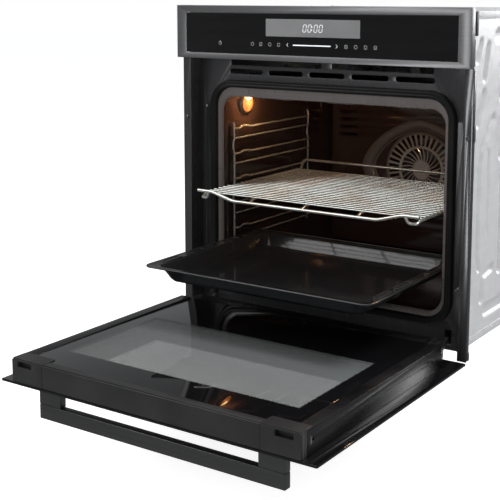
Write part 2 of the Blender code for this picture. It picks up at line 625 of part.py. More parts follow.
def make_lamps():
    """A lamp in each side wall: a socket with its bulb behind a domed glass cover."""
    for word, side in SIDES:
        wall_x = side * HALF_CAVITY
        back_x = wall_x + side * LINER_WALL
        cover = rod_bm((back_x, LAMP_Y, LAMP_Z), (wall_x - side * 0.008, LAMP_Y, LAMP_Z),
                       LAMP_RADIUS, segments=20, end_radius=LAMP_RADIUS * 0.7)
        add_node("lamp_cover_" + word, mesh_from(cover, "lens"), "lamp", OVEN)
        x = back_x + side * FIT
        socket = rod_bm((x, LAMP_Y, LAMP_Z), (x + side * 0.026, LAMP_Y, LAMP_Z), LAMP_RADIUS - 0.001)
        add_node("lamp_" + word, mesh_from(socket, "socket"), "steel", OVEN)


def rack_wire_points(side, z, y0, y1, x):
    """One runner wire: straight between the posts, with its ends turned out to them."""
    out = side * 0.0030
    return [(side * x + out, y0, z), (side * x, y0 + 0.010, z),
            (side * x, y1 - 0.010, z), (side * x + out, y1, z)]


def make_side_racks():
    low = RACK_FIRST_Z - 0.008
    high = RACK_FIRST_Z + RACK_PITCH * (RACK_LEVELS - 1) + RACK_GAP + 0.012
    for word, side in SIDES:
        wires = []
        for y in (RACK_FRONT_Y, RACK_REAR_Y):
            wall_x = side * (HALF_CAVITY - 0.0025)
            post = [(wall_x, y, low), (side * POST_X, y, low + 0.006),
                    (side * POST_X, y, high - 0.006), (wall_x, y, high)]
            wires.append(tube_mesh("post", post, RACK_POST / 2, resolution=1))
        for level in range(RACK_LEVELS):
            for rise in (0.0, RACK_GAP):
                z = RACK_FIRST_Z + RACK_PITCH * level + rise
                points = rack_wire_points(side, z, RACK_FRONT_Y - 0.004, RACK_REAR_Y + 0.004, RUNNER_X)
                wires.append(tube_mesh("runner", points, RACK_WIRE / 2, resolution=1))
        add_wirework("side_rack_" + word, wires, "chrome", OVEN)


# ---------------------------------------------------------------- tray and shelf
def tray_loop(bm, inset_x, inset_y, z, radius, steps=3):
    half = HALF_TRAY - inset_x
    y0, y1 = TRAY_FRONT_Y + inset_y, TRAY_FRONT_Y + TRAY_LENGTH - inset_y
    outline = rounded_outline(-half, half, y0, y1, radius, steps)
    return [bm.verts.new((x, y, z)) for x, y in outline]


def make_tray():
    """Enamelled tray: flat floor, sloping walls and a rim that rides on the rack wires."""
    rim_z = RACK_FIRST_Z + RACK_WIRE / 2 + TRAY_SHEET + FIT
    bm = bmesh.new()
    loops = [tray_loop(bm, 0.0, 0.0, rim_z, 0.016),
             tray_loop(bm, 0.0225, 0.0150, rim_z, 0.014),
             tray_loop(bm, 0.0330, 0.0300, rim_z - TRAY_DEPTH, 0.020)]
    for outer, inner in zip(loops, loops[1:]):
        for i, vert in enumerate(outer):
            j = (i + 1) % len(outer)
            bm.faces.new((vert, outer[j], inner[j], inner[i]))
    bm.faces.new(loops[-1])
    bmesh.ops.recalc_face_normals(bm, faces=bm.faces)
    if bm.faces[:][-1].normal.z < 0:
        bmesh.ops.reverse_faces(bm, faces=bm.faces)
    bmesh.ops.solidify(bm, geom=bm.faces, thickness=TRAY_SHEET)
    bmesh.ops.recalc_face_normals(bm, faces=bm.faces)
    tray = add_node("baking_tray", mesh_from(bm, "tray"), "tray_enamel", TRAY, smooth=False)
    slots = bmesh.new()
    for _, side in SIDES:
        x = sorted((side * (HALF_TRAY - 0.0155), side * (HALF_TRAY - 0.0065)))
        for start in (0.042, 0.112, 0.228, 0.298):
            y = TRAY_FRONT_Y + start
            box_bm(x, (y, y + 0.052), (rim_z - 0.01, rim_z + 0.01), slots)
    add_cutter(tray, mesh_from(slots, "rim_slots"))


def make_shelf():
    """Chromed wire shelf with a front bar that dips between raised ends."""
    rail_x = SHELF_RAIL_X
    rail_z = RACK_FIRST_Z + SHELF_LEVEL * RACK_PITCH + RACK_WIRE / 2 + SHELF_BAR / 2 + FIT
    y0, y1 = SHELF_FRONT_Y, SHELF_FRONT_Y + SHELF_LENGTH
    high, low = rail_z + 0.0085, rail_z - 0.0045
    end = HALF_MOUTH - 0.004
    bend, flat = end - 0.032, end - 0.078
    front = [(-end, y0, high), (-bend, y0, high), (-flat, y0, low),
             (flat, y0, low), (bend, y0, high), (end, y0, high)]
    wires = [tube_mesh("front_bar", front, SHELF_BAR / 2)]
    rear = [(-rail_x, y1, rail_z), (-rail_x + 0.012, y1, rail_z + 0.022),
            (rail_x - 0.012, y1, rail_z + 0.022), (rail_x, y1, rail_z)]
    wires.append(tube_mesh("rear_guard", rear, SHELF_BAR / 2))
    for side in (-1, 1):
        x = side * rail_x
        rail = [(x, y1, rail_z), (x, y0 + 0.014, rail_z), (x - side * 0.003, y0 + 0.002, rail_z - 0.001),
                (x - side * 0.017, y0, rail_z - 0.003), (side * (bend + 0.003), y0, high)]
        wires.append(tube_mesh("side_rail", rail, SHELF_BAR / 2, resolution=1))
    top = rail_z + (SHELF_BAR + SHELF_WIRE) / 2 - WELD
    for i in range(SHELF_WIRES):
        y = y0 + 0.018 + (SHELF_LENGTH - 0.036) * i / (SHELF_WIRES - 1)
        wires.append(tube_mesh("cross_wire", [(-rail_x - 0.0015, y, top), (rail_x + 0.0015, y, top)],
                               SHELF_WIRE / 2, resolution=1))
    under = top - SHELF_WIRE / 2 - SHELF_SUPPORT / 2 + WELD
    for x in (-rail_x / 2, 0.0, rail_x / 2):
        support = [(x, y0, low + 0.0005), (x, y0 + 0.012, under), (x, y1 - 0.004, under)]
        wires.append(tube_mesh("support", support, SHELF_SUPPORT / 2, resolution=1))
    add_wirework("wire_shelf", wires, "chrome", SHELF)


# ---------------------------------------------------------------- cooling and electrics
def make_cooling():
    z0, z1 = DUCT_BOTTOM_Z, DUCT_BOTTOM_Z + DUCT_HEIGHT
    wall = SHEET
    duct_half = 0.222
    duct_back, blower_y = DUCT_BACK_Y, BLOWER_Y
    duct = add_node("air_duct", boxes("duct", (
        (-duct_half, duct_half), (HOUSING_FRONT_Y + 0.002, duct_back), (z0, z1))),
        "galvanised", OVEN, smooth=False)
    add_cutter(duct, boxes("duct_hollow", (
        (-duct_half + wall, duct_half - wall), (0.0, 0.5), (z0 + wall, z1 - wall))))
    scroll = add_node("cooling_fan_housing", boxes("scroll", (
        (-0.088, 0.088), (duct_back + FIT, duct_back + 0.185), (z0, z1))), "galvanised", OVEN, smooth=False)
    inside = rod_bm((0, blower_y, z0 + wall), (0, blower_y, z1 - wall), 0.070, segments=32)
    add_cutter(scroll, mesh_from(inside, "scroll_inside"))
    add_cutter(scroll, boxes("outlet", (
        (-0.068, 0.068), (0.0, blower_y), (z0 + wall, z1 - wall))))
    eye = rod_bm((0, blower_y, z1 - 0.01), (0, blower_y, z1 + 0.01), 0.045, segments=24)
    add_cutter(scroll, mesh_from(eye, "eye"))

    low, high = z0 + wall + 0.003, z1 - wall - 0.003
    wheel = rod_bm((0, blower_y, low), (0, blower_y, low + 0.0015), 0.062, segments=28)
    fan = add_node("cooling_fan_wheel", mesh_from(wheel, "cool_wheel"), "galvanised", COOLER)
    blades = rod_bm((0, blower_y, low + 0.0005), (0, blower_y, high + 0.004), 0.009)
    for i in range(20):
        made = bmesh.ops.create_cube(blades, size=1.0)["verts"]
        bmesh.ops.scale(blades, vec=(0.012, 0.0012, high - low - 0.001), verts=made)
        bmesh.ops.rotate(blades, matrix=Matrix.Rotation(math.radians(30), 3, "Z"), verts=made)
        bmesh.ops.translate(blades, vec=(0.054, 0, (low + high) / 2), verts=made)
        turn = Matrix.Translation((0, blower_y, 0)) @ Matrix.Rotation(2 * math.pi * i / 20, 4, "Z")
        bmesh.ops.transform(blades, matrix=turn, verts=made)
    add_cutter(fan, mesh_from(blades, "cool_blades"), "UNION")
    motor = rod_bm((0, blower_y, z1 + 0.006), (0, blower_y, z1 + 0.040), 0.030, segments=20)
    node = add_node("cooling_fan_motor", mesh_from(motor, "cool_motor"), "steel", OVEN)
    bridge = boxes("bridge", (
        (-0.075, 0.075), (blower_y - 0.009, blower_y + 0.009), (z1 + FIT, z1 + 0.007)))
    add_cutter(node, bridge, "UNION")


def make_electrics():
    z = DUCT_BOTTOM_Z + DUCT_HEIGHT + 0.012
    board = add_node("power_board", boxes("relay_board", (
        (-0.235, -0.105), (0.250, 0.400), (z, z + 0.0016))), "board", OVEN, smooth=False)
    relays = [((x, x + 0.020), (y, y + 0.026), (z + 0.001, z + 0.018))
              for x in (-0.225, -0.195, -0.165) for y in (0.265, 0.305)]
    relays.append(((-0.150, -0.115), (0.350, 0.390), (z + 0.001, z + 0.028)))
    add_cutter(board, boxes("relays", *relays), "UNION")
    y = HOUSING_BACK_Y - SHEET
    add_node("terminal_box", boxes("terminals", (
        (GLAND_X - 0.032, GLAND_X + 0.032), (y - 0.052, y - 0.0092),
        (GLAND_Z - 0.018, GLAND_Z + 0.018))), "plastic", OVEN, smooth=False)
    gland = rod_bm((GLAND_X, y - 0.008, GLAND_Z), (GLAND_X, y + 0.014, GLAND_Z), GLAND_RADIUS, segments=20)
    node = add_node("cord_gland", mesh_from(gland, "gland"), "plastic", OVEN)
    bore = rod_bm((GLAND_X, y - 0.02, GLAND_Z), (GLAND_X, y + 0.03, GLAND_Z), 0.0045, segments=16)
    add_cutter(node, mesh_from(bore, "gland_bore"))


# ---------------------------------------------------------------- hinges
def make_hinges():
    pivot = (PIVOT_Y, PIVOT_Z)
    boss, pin_radius = HINGE_BOSS, PIN_RADIUS
    channel_half, wall = HINGE_WIDTH / 2, HINGE_WALL
    for word, side in SIDES:
        x = side * HINGE_X
        outline = corner(pivot, boss, 60, 240, 6)
        outline += [(0.028, 0.0155), (0.078, 0.0180), (0.078, 0.0300), (0.068, 0.0340),
                    (0.062, 0.0270), (0.040, 0.0265), (0.030, 0.0285), (0.010, 0.0180)]
        arm = add_node("hinge_arm_" + word,
                       mesh_from(prism_bm(outline, x - 0.002, x + 0.002, "X"), "arm"), "steel", OVEN)
        hole = rod_bm((x - 0.02, *pivot), (x + 0.02, *pivot), pin_radius + 0.0004)
        add_cutter(arm, mesh_from(hole, "arm_hole"))

        y0, y1, z0, z1 = HOUSING_FRONT_Y, RECEIVER_END_Y, HOUSING_BASE_Z + SHEET + FIT, RECEIVER_TOP_Z
        receiver = add_node("hinge_receiver_" + word, boxes("receiver", (
            (x - 0.009, x + 0.009), (y0, y1), (z0, z1))), "steel", OVEN, smooth=False)
        add_cutter(receiver, boxes("receiver_hollow", (
            (x - 0.0075, x + 0.0075), (y0 - 0.01, y1 - 0.0015), (z0 + 0.0009, z1 - 0.0015))))

        reach = PIVOT_Y + 0.004
        body = add_node("hinge_body_" + word, boxes("channel", (
            (x - channel_half, x + channel_half), (PIVOT_Y - HINGE_LENGTH, reach),
            (BODY_Z0 + 0.001, BODY_Z1 - DOOR_GLASS - 0.001))), "steel", DOOR, smooth=False)
        web = boss + 0.0005
        add_cutter(body, boxes("channel_hollow", (
            (x - channel_half + wall, x + channel_half - wall),
            (PIVOT_Y - HINGE_LENGTH - 0.01, reach + 0.01), (PIVOT_Z - web, 0.1))))
        hole = rod_bm((x - 0.02, *pivot), (x + 0.02, *pivot), pin_radius + 0.0004)
        add_cutter(body, mesh_from(hole, "channel_holes"))
        pin = rod_bm((x - channel_half - 0.001, *pivot), (x + channel_half + 0.001, *pivot), pin_radius)
        add_node("hinge_pin_" + word, mesh_from(pin, "pin"), "steel", DOOR)

        rod_z = ROD_Z
        rod = add_node("hinge_rod_" + word, mesh_from(rod_bm(
            (x, -0.205, rod_z), (x, -0.036, rod_z), 0.0022, segments=12), "rod"), "steel", RODS[word])
        head = rod_bm((x, -0.208, rod_z), (x, -0.2045, rod_z), 0.0052, segments=16)
        add_cutter(rod, mesh_from(head, "rod_head"), "UNION")
        coils, per_turn, y_start, y_end = 9, 8, -0.064, -0.178
        points = []
        for i in range(coils * per_turn + 1):
            a = 2 * math.pi * i / per_turn
            y = y_start + (y_end - y_start) * i / (coils * per_turn)
            points.append((x + 0.0043 * math.cos(a), y, rod_z + 0.0043 * math.sin(a)))
        add_node("hinge_spring_" + word, tube_mesh("spring", points, 0.0009, resolution=0), "steel", DOOR)


# ---------------------------------------------------------------- door
def make_door():
    add_node("door_outer_glass", boxes("outer", (
        (-HALF_FRONT, HALF_FRONT), (DOOR_TOP_Y, DOOR_BOTTOM_Y), (DOOR_Z, DOOR_Z + DOOR_GLASS))),
        "black_glass", DOOR, smooth=False)
    cap_depth, rail_end, rail_start = 0.015, -0.012, -0.044
    inner_half = HALF_BODY - 0.021
    glass_y0, glass_y1 = DOOR_TOP_Y + cap_depth + 0.0005, rail_start - 0.0005
    add_node("door_inner_glass", boxes("inner", (
        (-inner_half, inner_half), (glass_y0, glass_y1), (BODY_Z1 - DOOR_GLASS, BODY_Z1 - 0.0003))),
        "glass", DOOR, smooth=False)
    middle_half = HINGE_X - HINGE_WIDTH / 2 - 0.005
    middle_z = (BODY_Z0 + BODY_Z1) / 2
    add_node("door_middle_glass", boxes("middle", (
        (-middle_half, middle_half), (glass_y0, glass_y1), (middle_z - 0.002, middle_z + 0.002))),
        "glass", DOOR, smooth=False)
    wall = 0.0015
    for word, side in SIDES:
        outer, lip, foot = side * HALF_BODY, side * (inner_half + FIT), side * (HINGE_X + 0.010)
        inner = outer - side * wall
        profile = [(outer, BODY_Z0), (foot, BODY_Z0), (foot, BODY_Z0 + wall), (inner, BODY_Z0 + wall),
                   (inner, BODY_Z1 - wall), (lip, BODY_Z1 - wall), (lip, BODY_Z1), (outer, BODY_Z1)]
        skin = mesh_from(prism_bm(profile, glass_y0, glass_y1), "channel")
        channel = add_node("door_side_channel_" + word, skin, "black_paint", DOOR, smooth=False)
        hole_y = DOOR_TOP_Y + 0.032
        hole = rod_bm((outer - side * 0.01, hole_y, BODY_Z0 + 0.020),
                      (outer + side * 0.01, hole_y, BODY_Z0 + 0.020), 0.003)
        add_cutter(channel, mesh_from(hole, "side_hole"))
    cap = add_node("door_top_cap", boxes("cap", (
        (-HALF_BODY, HALF_BODY), (DOOR_TOP_Y + 0.0004, DOOR_TOP_Y + cap_depth),
        (BODY_Z0, BODY_Z1 - 0.001))), "plastic", DOOR, smooth=False)
    pockets = bmesh.new()
    for _, side in SIDES:
        x = sorted((side * 0.230, side * 0.260))
        box_bm(x, (DOOR_TOP_Y - 0.01, DOOR_TOP_Y + 0.009), (BODY_Z1 - 0.0125, BODY_Z1 - 0.0030), pockets)
    add_cutter(cap, mesh_from(pockets, "cap_pockets"))
    rail_half, rail_wall = HINGE_X - HINGE_WIDTH / 2 - 0.003, 0.0015
    rail = add_node("door_bottom_rail", boxes("rail", (
        (-rail_half, rail_half), (rail_start, rail_end), (BODY_Z0, BODY_Z1 - 0.0015))),
        "black_paint", DOOR, smooth=False)
    add_cutter(rail, boxes("rail_hollow", (
        (-rail_half + rail_wall, rail_half - rail_wall),
        (rail_start + rail_wall, rail_end - rail_wall), (DOOR_Z, BODY_Z1 - 0.003))))


def make_handle():
    bar_top = DOOR_Z - FIT - HANDLE_GAP
    y0 = DOOR_TOP_Y + HANDLE_INSET
    y1 = y0 + HANDLE_BAR_HEIGHT
    half = HANDLE_LENGTH / 2
    bar = add_node("handle_bar", boxes("bar", (
        (-half, half), (y0, y1), (bar_top - HANDLE_BAR_DEPTH, bar_top))), "dark_steel", DOOR)
    bevel = bar.modifiers.new("edges", "BEVEL")
    bevel.width = 0.0008
    bevel.segments = 1
    for word, side in SIDES:
        x = sorted((side * half, side * (half - HANDLE_POST_WIDTH)))
        post = add_node("handle_post_" + word, boxes("post", (
            x, (y0, y1), (bar_top + FIT, DOOR_Z - FIT))), "dark_steel", DOOR)
        bevel = post.modifiers.new("edges", "BEVEL")
        bevel.width = 0.0005
        bevel.segments = 1


# ---------------------------------------------------------------- build
clear_scene()
PARTS = bpy.data.collections.new("wall_oven")
HELPERS = bpy.data.collections.new("helpers")
for group in (PARTS, HELPERS):
    bpy.context.scene.collection.children.link(group)
FINISH = make_materials()
ORIGIN = (0.0, HOUSING_MID_Y, HOUSING_BASE_Z)
OVEN = add_empty("oven", (0.0, 0.0, 0.0))
DOOR = add_empty("door_hinge_axis", (0.0, PIVOT_Y, PIVOT_Z), OVEN)
FAN = add_empty("convection_fan_axis", (0.0, COVER_Y, FAN_Z), OVEN)
COOLER = add_empty("cooling_fan_axis", (0.0, BLOWER_Y, DUCT_BOTTOM_Z), OVEN)
TRAY = add_empty("tray_slide_axis", (0.0, TRAY_FRONT_Y, RACK_FIRST_Z), OVEN)
SHELF = add_empty("shelf_slide_axis", (0.0, SHELF_FRONT_Y, RACK_FIRST_Z + SHELF_LEVEL * RACK_PITCH), OVEN)
RODS = {word: add_empty("hinge_rod_axis_" + word, (side * HINGE_X, PIVOT_Y, ROD_Z), DOOR)
        for word, side in SIDES}

make_control_panel()
make_front_frame()
make_mounting_screws()
make_housing()
make_insulation()
make_cavity()
make_gasket()
make_fan_cover()
make_convection()
make_heaters()
make_lamps()
make_side_racks()
make_tray()
make_shelf()
make_cooling()
make_electrics()
make_hinges()
make_door()
make_handle()
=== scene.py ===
"""The built-in wall oven's looks: its finishes, its fine shapes, the studio and the camera.

Shapes are drawn in millimetres from the middle of the side flanges' lower front edge, with the
oven's width along X, its depth along Y and its height along Z, and the door lying open.
"""
import math

import bmesh
import bpy
from mathutils import Matrix, Vector


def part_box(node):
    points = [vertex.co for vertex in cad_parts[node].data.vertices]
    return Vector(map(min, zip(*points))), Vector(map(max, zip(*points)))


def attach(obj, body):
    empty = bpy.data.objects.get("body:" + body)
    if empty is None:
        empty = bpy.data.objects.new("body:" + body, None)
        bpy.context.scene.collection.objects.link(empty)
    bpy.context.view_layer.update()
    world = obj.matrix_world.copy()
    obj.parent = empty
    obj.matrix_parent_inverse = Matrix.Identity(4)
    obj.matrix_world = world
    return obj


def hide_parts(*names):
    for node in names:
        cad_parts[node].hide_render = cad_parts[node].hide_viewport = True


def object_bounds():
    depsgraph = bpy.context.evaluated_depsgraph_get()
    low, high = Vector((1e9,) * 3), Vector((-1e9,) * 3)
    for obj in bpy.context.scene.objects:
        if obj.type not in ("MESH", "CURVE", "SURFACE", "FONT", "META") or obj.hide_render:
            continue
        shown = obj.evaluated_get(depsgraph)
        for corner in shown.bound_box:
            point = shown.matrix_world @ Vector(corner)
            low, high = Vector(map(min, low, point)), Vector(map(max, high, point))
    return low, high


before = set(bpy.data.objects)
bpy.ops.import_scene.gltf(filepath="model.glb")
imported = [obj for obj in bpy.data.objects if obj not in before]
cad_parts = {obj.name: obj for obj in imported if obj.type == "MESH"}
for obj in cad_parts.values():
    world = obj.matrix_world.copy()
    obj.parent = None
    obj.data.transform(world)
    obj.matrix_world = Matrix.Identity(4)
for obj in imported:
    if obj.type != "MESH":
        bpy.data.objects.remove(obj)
cad_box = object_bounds()

MM = 0.001
ORIGIN = Vector((0.0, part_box("front_frame")[0][1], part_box("front_frame")[0][2]))
PLACE = Matrix.Translation(ORIGIN) @ Matrix.Scale(MM, 4)
SIDES = (("left", -1), ("right", 1))


def span(node):
    """A CAD node's ends along x, y and z, in drawing millimetres."""
    low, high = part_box(node)
    return [((a - o) / MM, (b - o) / MM) for a, b, o in zip(low, high, ORIGIN)]


PANEL_X, PANEL_Y, PANEL_Z = span("control_panel_frame")
GLASS_X, GLASS_Y, GLASS_Z = span("control_glass")
FRAME_X, _, FRAME_Z = span("front_frame")
COVER_X, _, COVER_Z = span("fan_cover")
SIDE_X, SIDE_Y, SIDE_Z = span("housing_side_right")
TOP_X, TOP_Y, TOP_Z = span("housing_top")
TRAY_X, TRAY_Y, TRAY_Z = span("baking_tray")
SHELF_X, SHELF_Y, SHELF_Z = span("wire_shelf")
OUTER_X, OUTER_Y, OUTER_Z = span("door_outer_glass")
INNER_X, INNER_Y, INNER_Z = span("door_inner_glass")
CAP_X, CAP_Y, CAP_Z = span("door_top_cap")
BAR_X, BAR_Y, BAR_Z = span("handle_bar")

GAUGE = 0.8                            # thickness of the sheets
RECESS_Y = 35.0                        # plate round the cavity
PANEL_BOTTOM = PANEL_Z[0]
MOUTH_X, MOUTH_Z, MOUTH_RADIUS = (-232.0, 232.0), (66.0, 421.0), 28.0
LIP_X, LIP_Z, LIP_RADIUS = (-240.5, 240.5), (57.5, 438.5), 36.5
CAVITY_X, CAVITY_Z, CAVITY_BACK, CAVITY_RADIUS = (-234.0, 234.0), (64.0, 425.0), 478.0, 22.0
FLANGE_INNER_X = 280.2                 # where a flange meets the recess wall
SCREW_X, SCREW_Z = 289.8, 380.2
WALL_OPENINGS = (96.0, 206.0, 300.0)   # lower ends, in the recess walls
BUFFER_HEIGHTS = ((548.0, 588.0), (374.0, 402.0), (2.0, 16.0))
FAN_Z = 243.0
FAN_FACE = 437.0                       # front of the panel that carries the fan cover
RACK_FIRST_Z, RACK_PITCH, RACK_GAP = 136.0, 49.7, 19.0
RACK_POST_X, RACK_RAIL_X = 229.2, 225.0
LAMP_SPOT_RISE = 19.0                  # hot spot over the middle of the lamp glass
WINDOW_HALF, WINDOW_Y = 222.0, (-413.0, -185.0)


# ---------------------------------------------------------------- finishes
class Signal:
    """A socket of a finish that takes part in arithmetic."""

    def __init__(self, finish, socket):
        self.finish, self.socket = finish, socket

    def math(self, operation, *others, clamp=False):
        return self.finish.add("ShaderNodeMath", {"operation": operation, "use_clamp": clamp},
                               dict(enumerate((self, *others))))

    def __add__(self, other):
        return self.math("ADD", other)

    def __sub__(self, other):
        return self.math("SUBTRACT", other)

    def __rsub__(self, other):
        return self * -1.0 + other

    def __mul__(self, other):
        return self.math("MULTIPLY", other)

    __radd__ = __add__
    __rmul__ = __mul__

    def ramp(self, low, high):
        """0 below low, 1 above high, smooth between."""
        return self.finish.add("ShaderNodeMapRange", {"interpolation_type": "SMOOTHSTEP"},
                               {0: self, 1: low, 2: high})


class Finish:
    """A surface finish: one Principled shader and the nodes that vary it."""

    def __init__(self, name, slot, colour, roughness, metallic=0.0, **sockets):
        self.slot = slot
        self.material = bpy.data.materials.new(name)
        self.material.use_nodes = True
        self.tree = self.material.node_tree
        self.shader = self.tree.nodes["Principled BSDF"]
        self.feed("Base Color", (*colour, 1.0))
        self.feed("Roughness", roughness)
        self.feed("Metallic", metallic)
        for key, value in sockets.items():
            self.feed(key.replace("_", " ").title().replace("Ior", "IOR"), value)

    def feed(self, name, value):
        if isinstance(value, Signal):
            self.tree.links.new(value.socket, self.shader.inputs[name])
        else:
            self.shader.inputs[name].default_value = value

    def add(self, kind, settings=(), inputs=(), out=0):
        """Any node: its settings first, then its sockets' values or links."""
        made = self.tree.nodes.new(kind)
        for key, value in dict(settings).items():
            setattr(made, key, value)
        for key, value in dict(inputs).items():
            if isinstance(value, Signal):
                self.tree.links.new(value.socket, made.inputs[key])
            else:
                made.inputs[key].default_value = value
        return Signal(self, made.outputs[out])

    def coordinates(self, stretch=(1.0, 1.0, 1.0)):
        where = self.add("ShaderNodeTexCoord", out=3)
        return self.add("ShaderNodeMapping", {}, {"Vector": where, "Scale": stretch})

    def axis(self, index):
        return self.add("ShaderNodeSeparateXYZ", {}, {0: self.coordinates()}, out=index)

    def noise(self, scale, detail=3.0, stretch=(1.0, 1.0, 1.0)):
        return self.add("ShaderNodeTexNoise", {}, {
            "Vector": self.coordinates(stretch), "Scale": scale, "Detail": detail})

    def cells(self, scale, out=0):
        return self.add("ShaderNodeTexVoronoi", {}, {"Vector": self.coordinates(), "Scale": scale}, out)

    def blend(self, factor, first, second):
        return self.add("ShaderNodeMix", {"data_type": "RGBA"},
                        {0: factor, 6: (*first, 1.0), 7: (*second, 1.0)}, out=2)

    def relief(self, height, depth):
        """Bump of a depth in metres."""
        self.feed("Normal", self.add("ShaderNodeBump", {}, {"Height": height, "Distance": depth}))


def grained_metal(name, slot, dark, light, roughness, grain=(5.0, 900.0, 900.0), metallic=0.92):
    """Brushed steel or metallic enamel: its grain runs along the axis with the smallest number."""
    finish = Finish(name, slot, light, roughness, metallic)
    lines = finish.noise(1.0, 4.0, grain)
    clouds = finish.noise(7.0, 3.0)
    finish.feed("Base Color", finish.blend(lines * 0.6 + clouds * 0.4, dark, light))
    finish.feed("Roughness", lines * 0.06 + clouds * 0.08 + (roughness - 0.07))
    finish.relief(lines, 0.000015)
    return finish


def gloss_enamel(name, slot, dark, light, speckle, shine=0.5):
    """Fired enamel: glossy, a little wavy, with fine pale specks."""
    finish = Finish(name, slot, dark, 0.10, specular_ior_level=shine)
    specks = finish.cells(900.0)
    dots = 1.0 - specks.ramp(0.12, 0.26)
    clouds = finish.noise(9.0, 4.0)
    mask = (dots * speckle + clouds * 0.35).math("MINIMUM", 1.0)
    finish.feed("Base Color", finish.blend(mask, dark, light))
    finish.feed("Roughness", clouds * 0.08 + finish.noise(160.0, 2.0) * 0.05 + 0.03)
    finish.relief(finish.noise(26.0, 2.0) + dots * 0.05, 0.00025)
    return finish


def zinc_sheet():
    """Galvanised sheet: pale spangled zinc with soft rolling marks."""
    finish = Finish("zinc_sheet", "galvanised", (0.72, 0.73, 0.74), 0.42, 0.45)
    spangle = finish.add("ShaderNodeSeparateColor", {}, {0: finish.cells(85.0, out=1)})
    rolled = finish.noise(2.0, 3.0, (2.0, 3.0, 90.0))
    tone = spangle * 0.25 + rolled * 0.45 + finish.noise(5.0) * 0.3
    finish.feed("Base Color", finish.blend(tone, (0.50, 0.505, 0.515), (0.66, 0.665, 0.67)))
    finish.feed("Roughness", spangle * 0.12 + rolled * 0.14 + 0.26)
    finish.relief(rolled, 0.00008)
    return finish


def chrome_wire():
    """Chromed wire that cooking has tinted in places."""
    finish = Finish("chrome_wire", "chrome", (0.80, 0.78, 0.75), 0.14, 0.84)
    heat = finish.noise(14.0, 3.0)
    finish.feed("Base Color", finish.blend(heat.ramp(0.35, 0.75), (0.60, 0.62, 0.59), (0.52, 0.48, 0.42)))
    finish.feed("Roughness", finish.noise(60.0, 3.0) * 0.16 + 0.14)
    return finish


def panel_glass():
    """Black back-printed glass with faint wipe marks."""
    finish = Finish("panel_glass", "black_glass", (0.003, 0.003, 0.0035), 0.03, specular_ior_level=0.3)
    wipes = finish.noise(1.0, 4.0, (14.0, 60.0, 90.0))
    finish.feed("Roughness", wipes.ramp(0.45, 0.85) * 0.07 + 0.02)
    finish.feed("Base Color", finish.blend(wipes, (0.002, 0.002, 0.0022), (0.006, 0.006, 0.0065)))
    return finish


def window_glass(name, slot, tint, clearness, roughness):
    """Door glass: a black printed border, dotted at its edge, round a see-through window."""
    finish = Finish(name, slot, tint, roughness, specular_ior_level=0.4)
    middle_y = ORIGIN.y + sum(WINDOW_Y) / 2 * MM
    half_y = (WINDOW_Y[1] - WINDOW_Y[0]) / 2 * MM
    across = finish.axis(0).math("ABSOLUTE") - WINDOW_HALF * MM
    along = (finish.axis(1) - middle_y).math("ABSOLUTE") - half_y
    outside = across.math("MAXIMUM", along)
    dots = finish.cells(420.0)
    border = (outside + dots * 0.004).ramp(0.0, 0.0022)
    smears = finish.noise(5.0, 5.0, (1.0, 2.5, 1.0))
    finish.feed("Base Color", finish.blend(border, tint, (0.004, 0.004, 0.0045)))
    finish.feed("Alpha", border * clearness + (1.0 - clearness) + smears * 0.06)
    finish.feed("Roughness", smears.ramp(0.4, 0.8) * 0.05 + roughness)
    return finish


def clear_glass():
    """See-through glass with faint smears."""
    finish = Finish("clear_glass", "clear_glass", (0.30, 0.33, 0.33), 0.02, specular_ior_level=0.4)
    smears = finish.noise(6.0, 4.0)
    finish.feed("Alpha", smears * 0.08 + 0.16)
    finish.feed("Roughness", smears * 0.05 + 0.01)
    return finish


def lamp_glass():
    """Pressed lamp glass: the bulb behind it shows as a hot spot that fades to amber at the rim."""
    finish = Finish("lamp_glass", "lamp_glass", (0.04, 0.022, 0.010), 0.18, emission_strength=9.0)
    y, z = [sum(span("lamp_cover_left")[i]) / 2 * MM + ORIGIN[i] for i in (1, 2)]
    along, above = finish.axis(1) - y, finish.axis(2) - (z + LAMP_SPOT_RISE * MM)
    reach = (along * along + above * above).math("SQRT")
    ripple = finish.noise(150.0, 2.0)
    spot = 1.0 - (reach + ripple * 0.0015).ramp(0.0125, 0.0165)
    finish.feed("Emission Color", finish.blend(spot, (0.016, 0.0034, 0.0006), (1.0, 0.62, 0.26)))
    finish.relief(ripple, 0.0006)
    return finish


def moulded(name, slot, dark, light, roughness, grain, depth, shine=0.5):
    """A moulded part: rubber, plastic or paint, with an even grain and a few rubbed places."""
    finish = Finish(name, slot, dark, roughness, specular_ior_level=shine)
    clouds = finish.noise(12.0, 4.0)
    fine = finish.noise(grain, 2.0)
    finish.feed("Base Color", finish.blend(clouds.ramp(0.3, 0.8), dark, light))
    finish.feed("Roughness", clouds * 0.16 + fine * 0.08 + (roughness - 0.1))
    finish.relief(fine, depth)
    return finish


def lit_print(name, colour, strength):
    """White print lit through the glass."""
    finish = Finish(name, "display", colour, 0.3, emission_strength=strength)
    glow = finish.blend(finish.noise(300.0), tuple(0.85 * c for c in colour), colour)
    finish.feed("Emission Color", glow)
    finish.feed("Base Color", glow)
    return finish


def finishes(maker, rows):
    """The finishes that one function makes, by name."""
    return {name: maker(name, *row) for name, row in rows.items()}


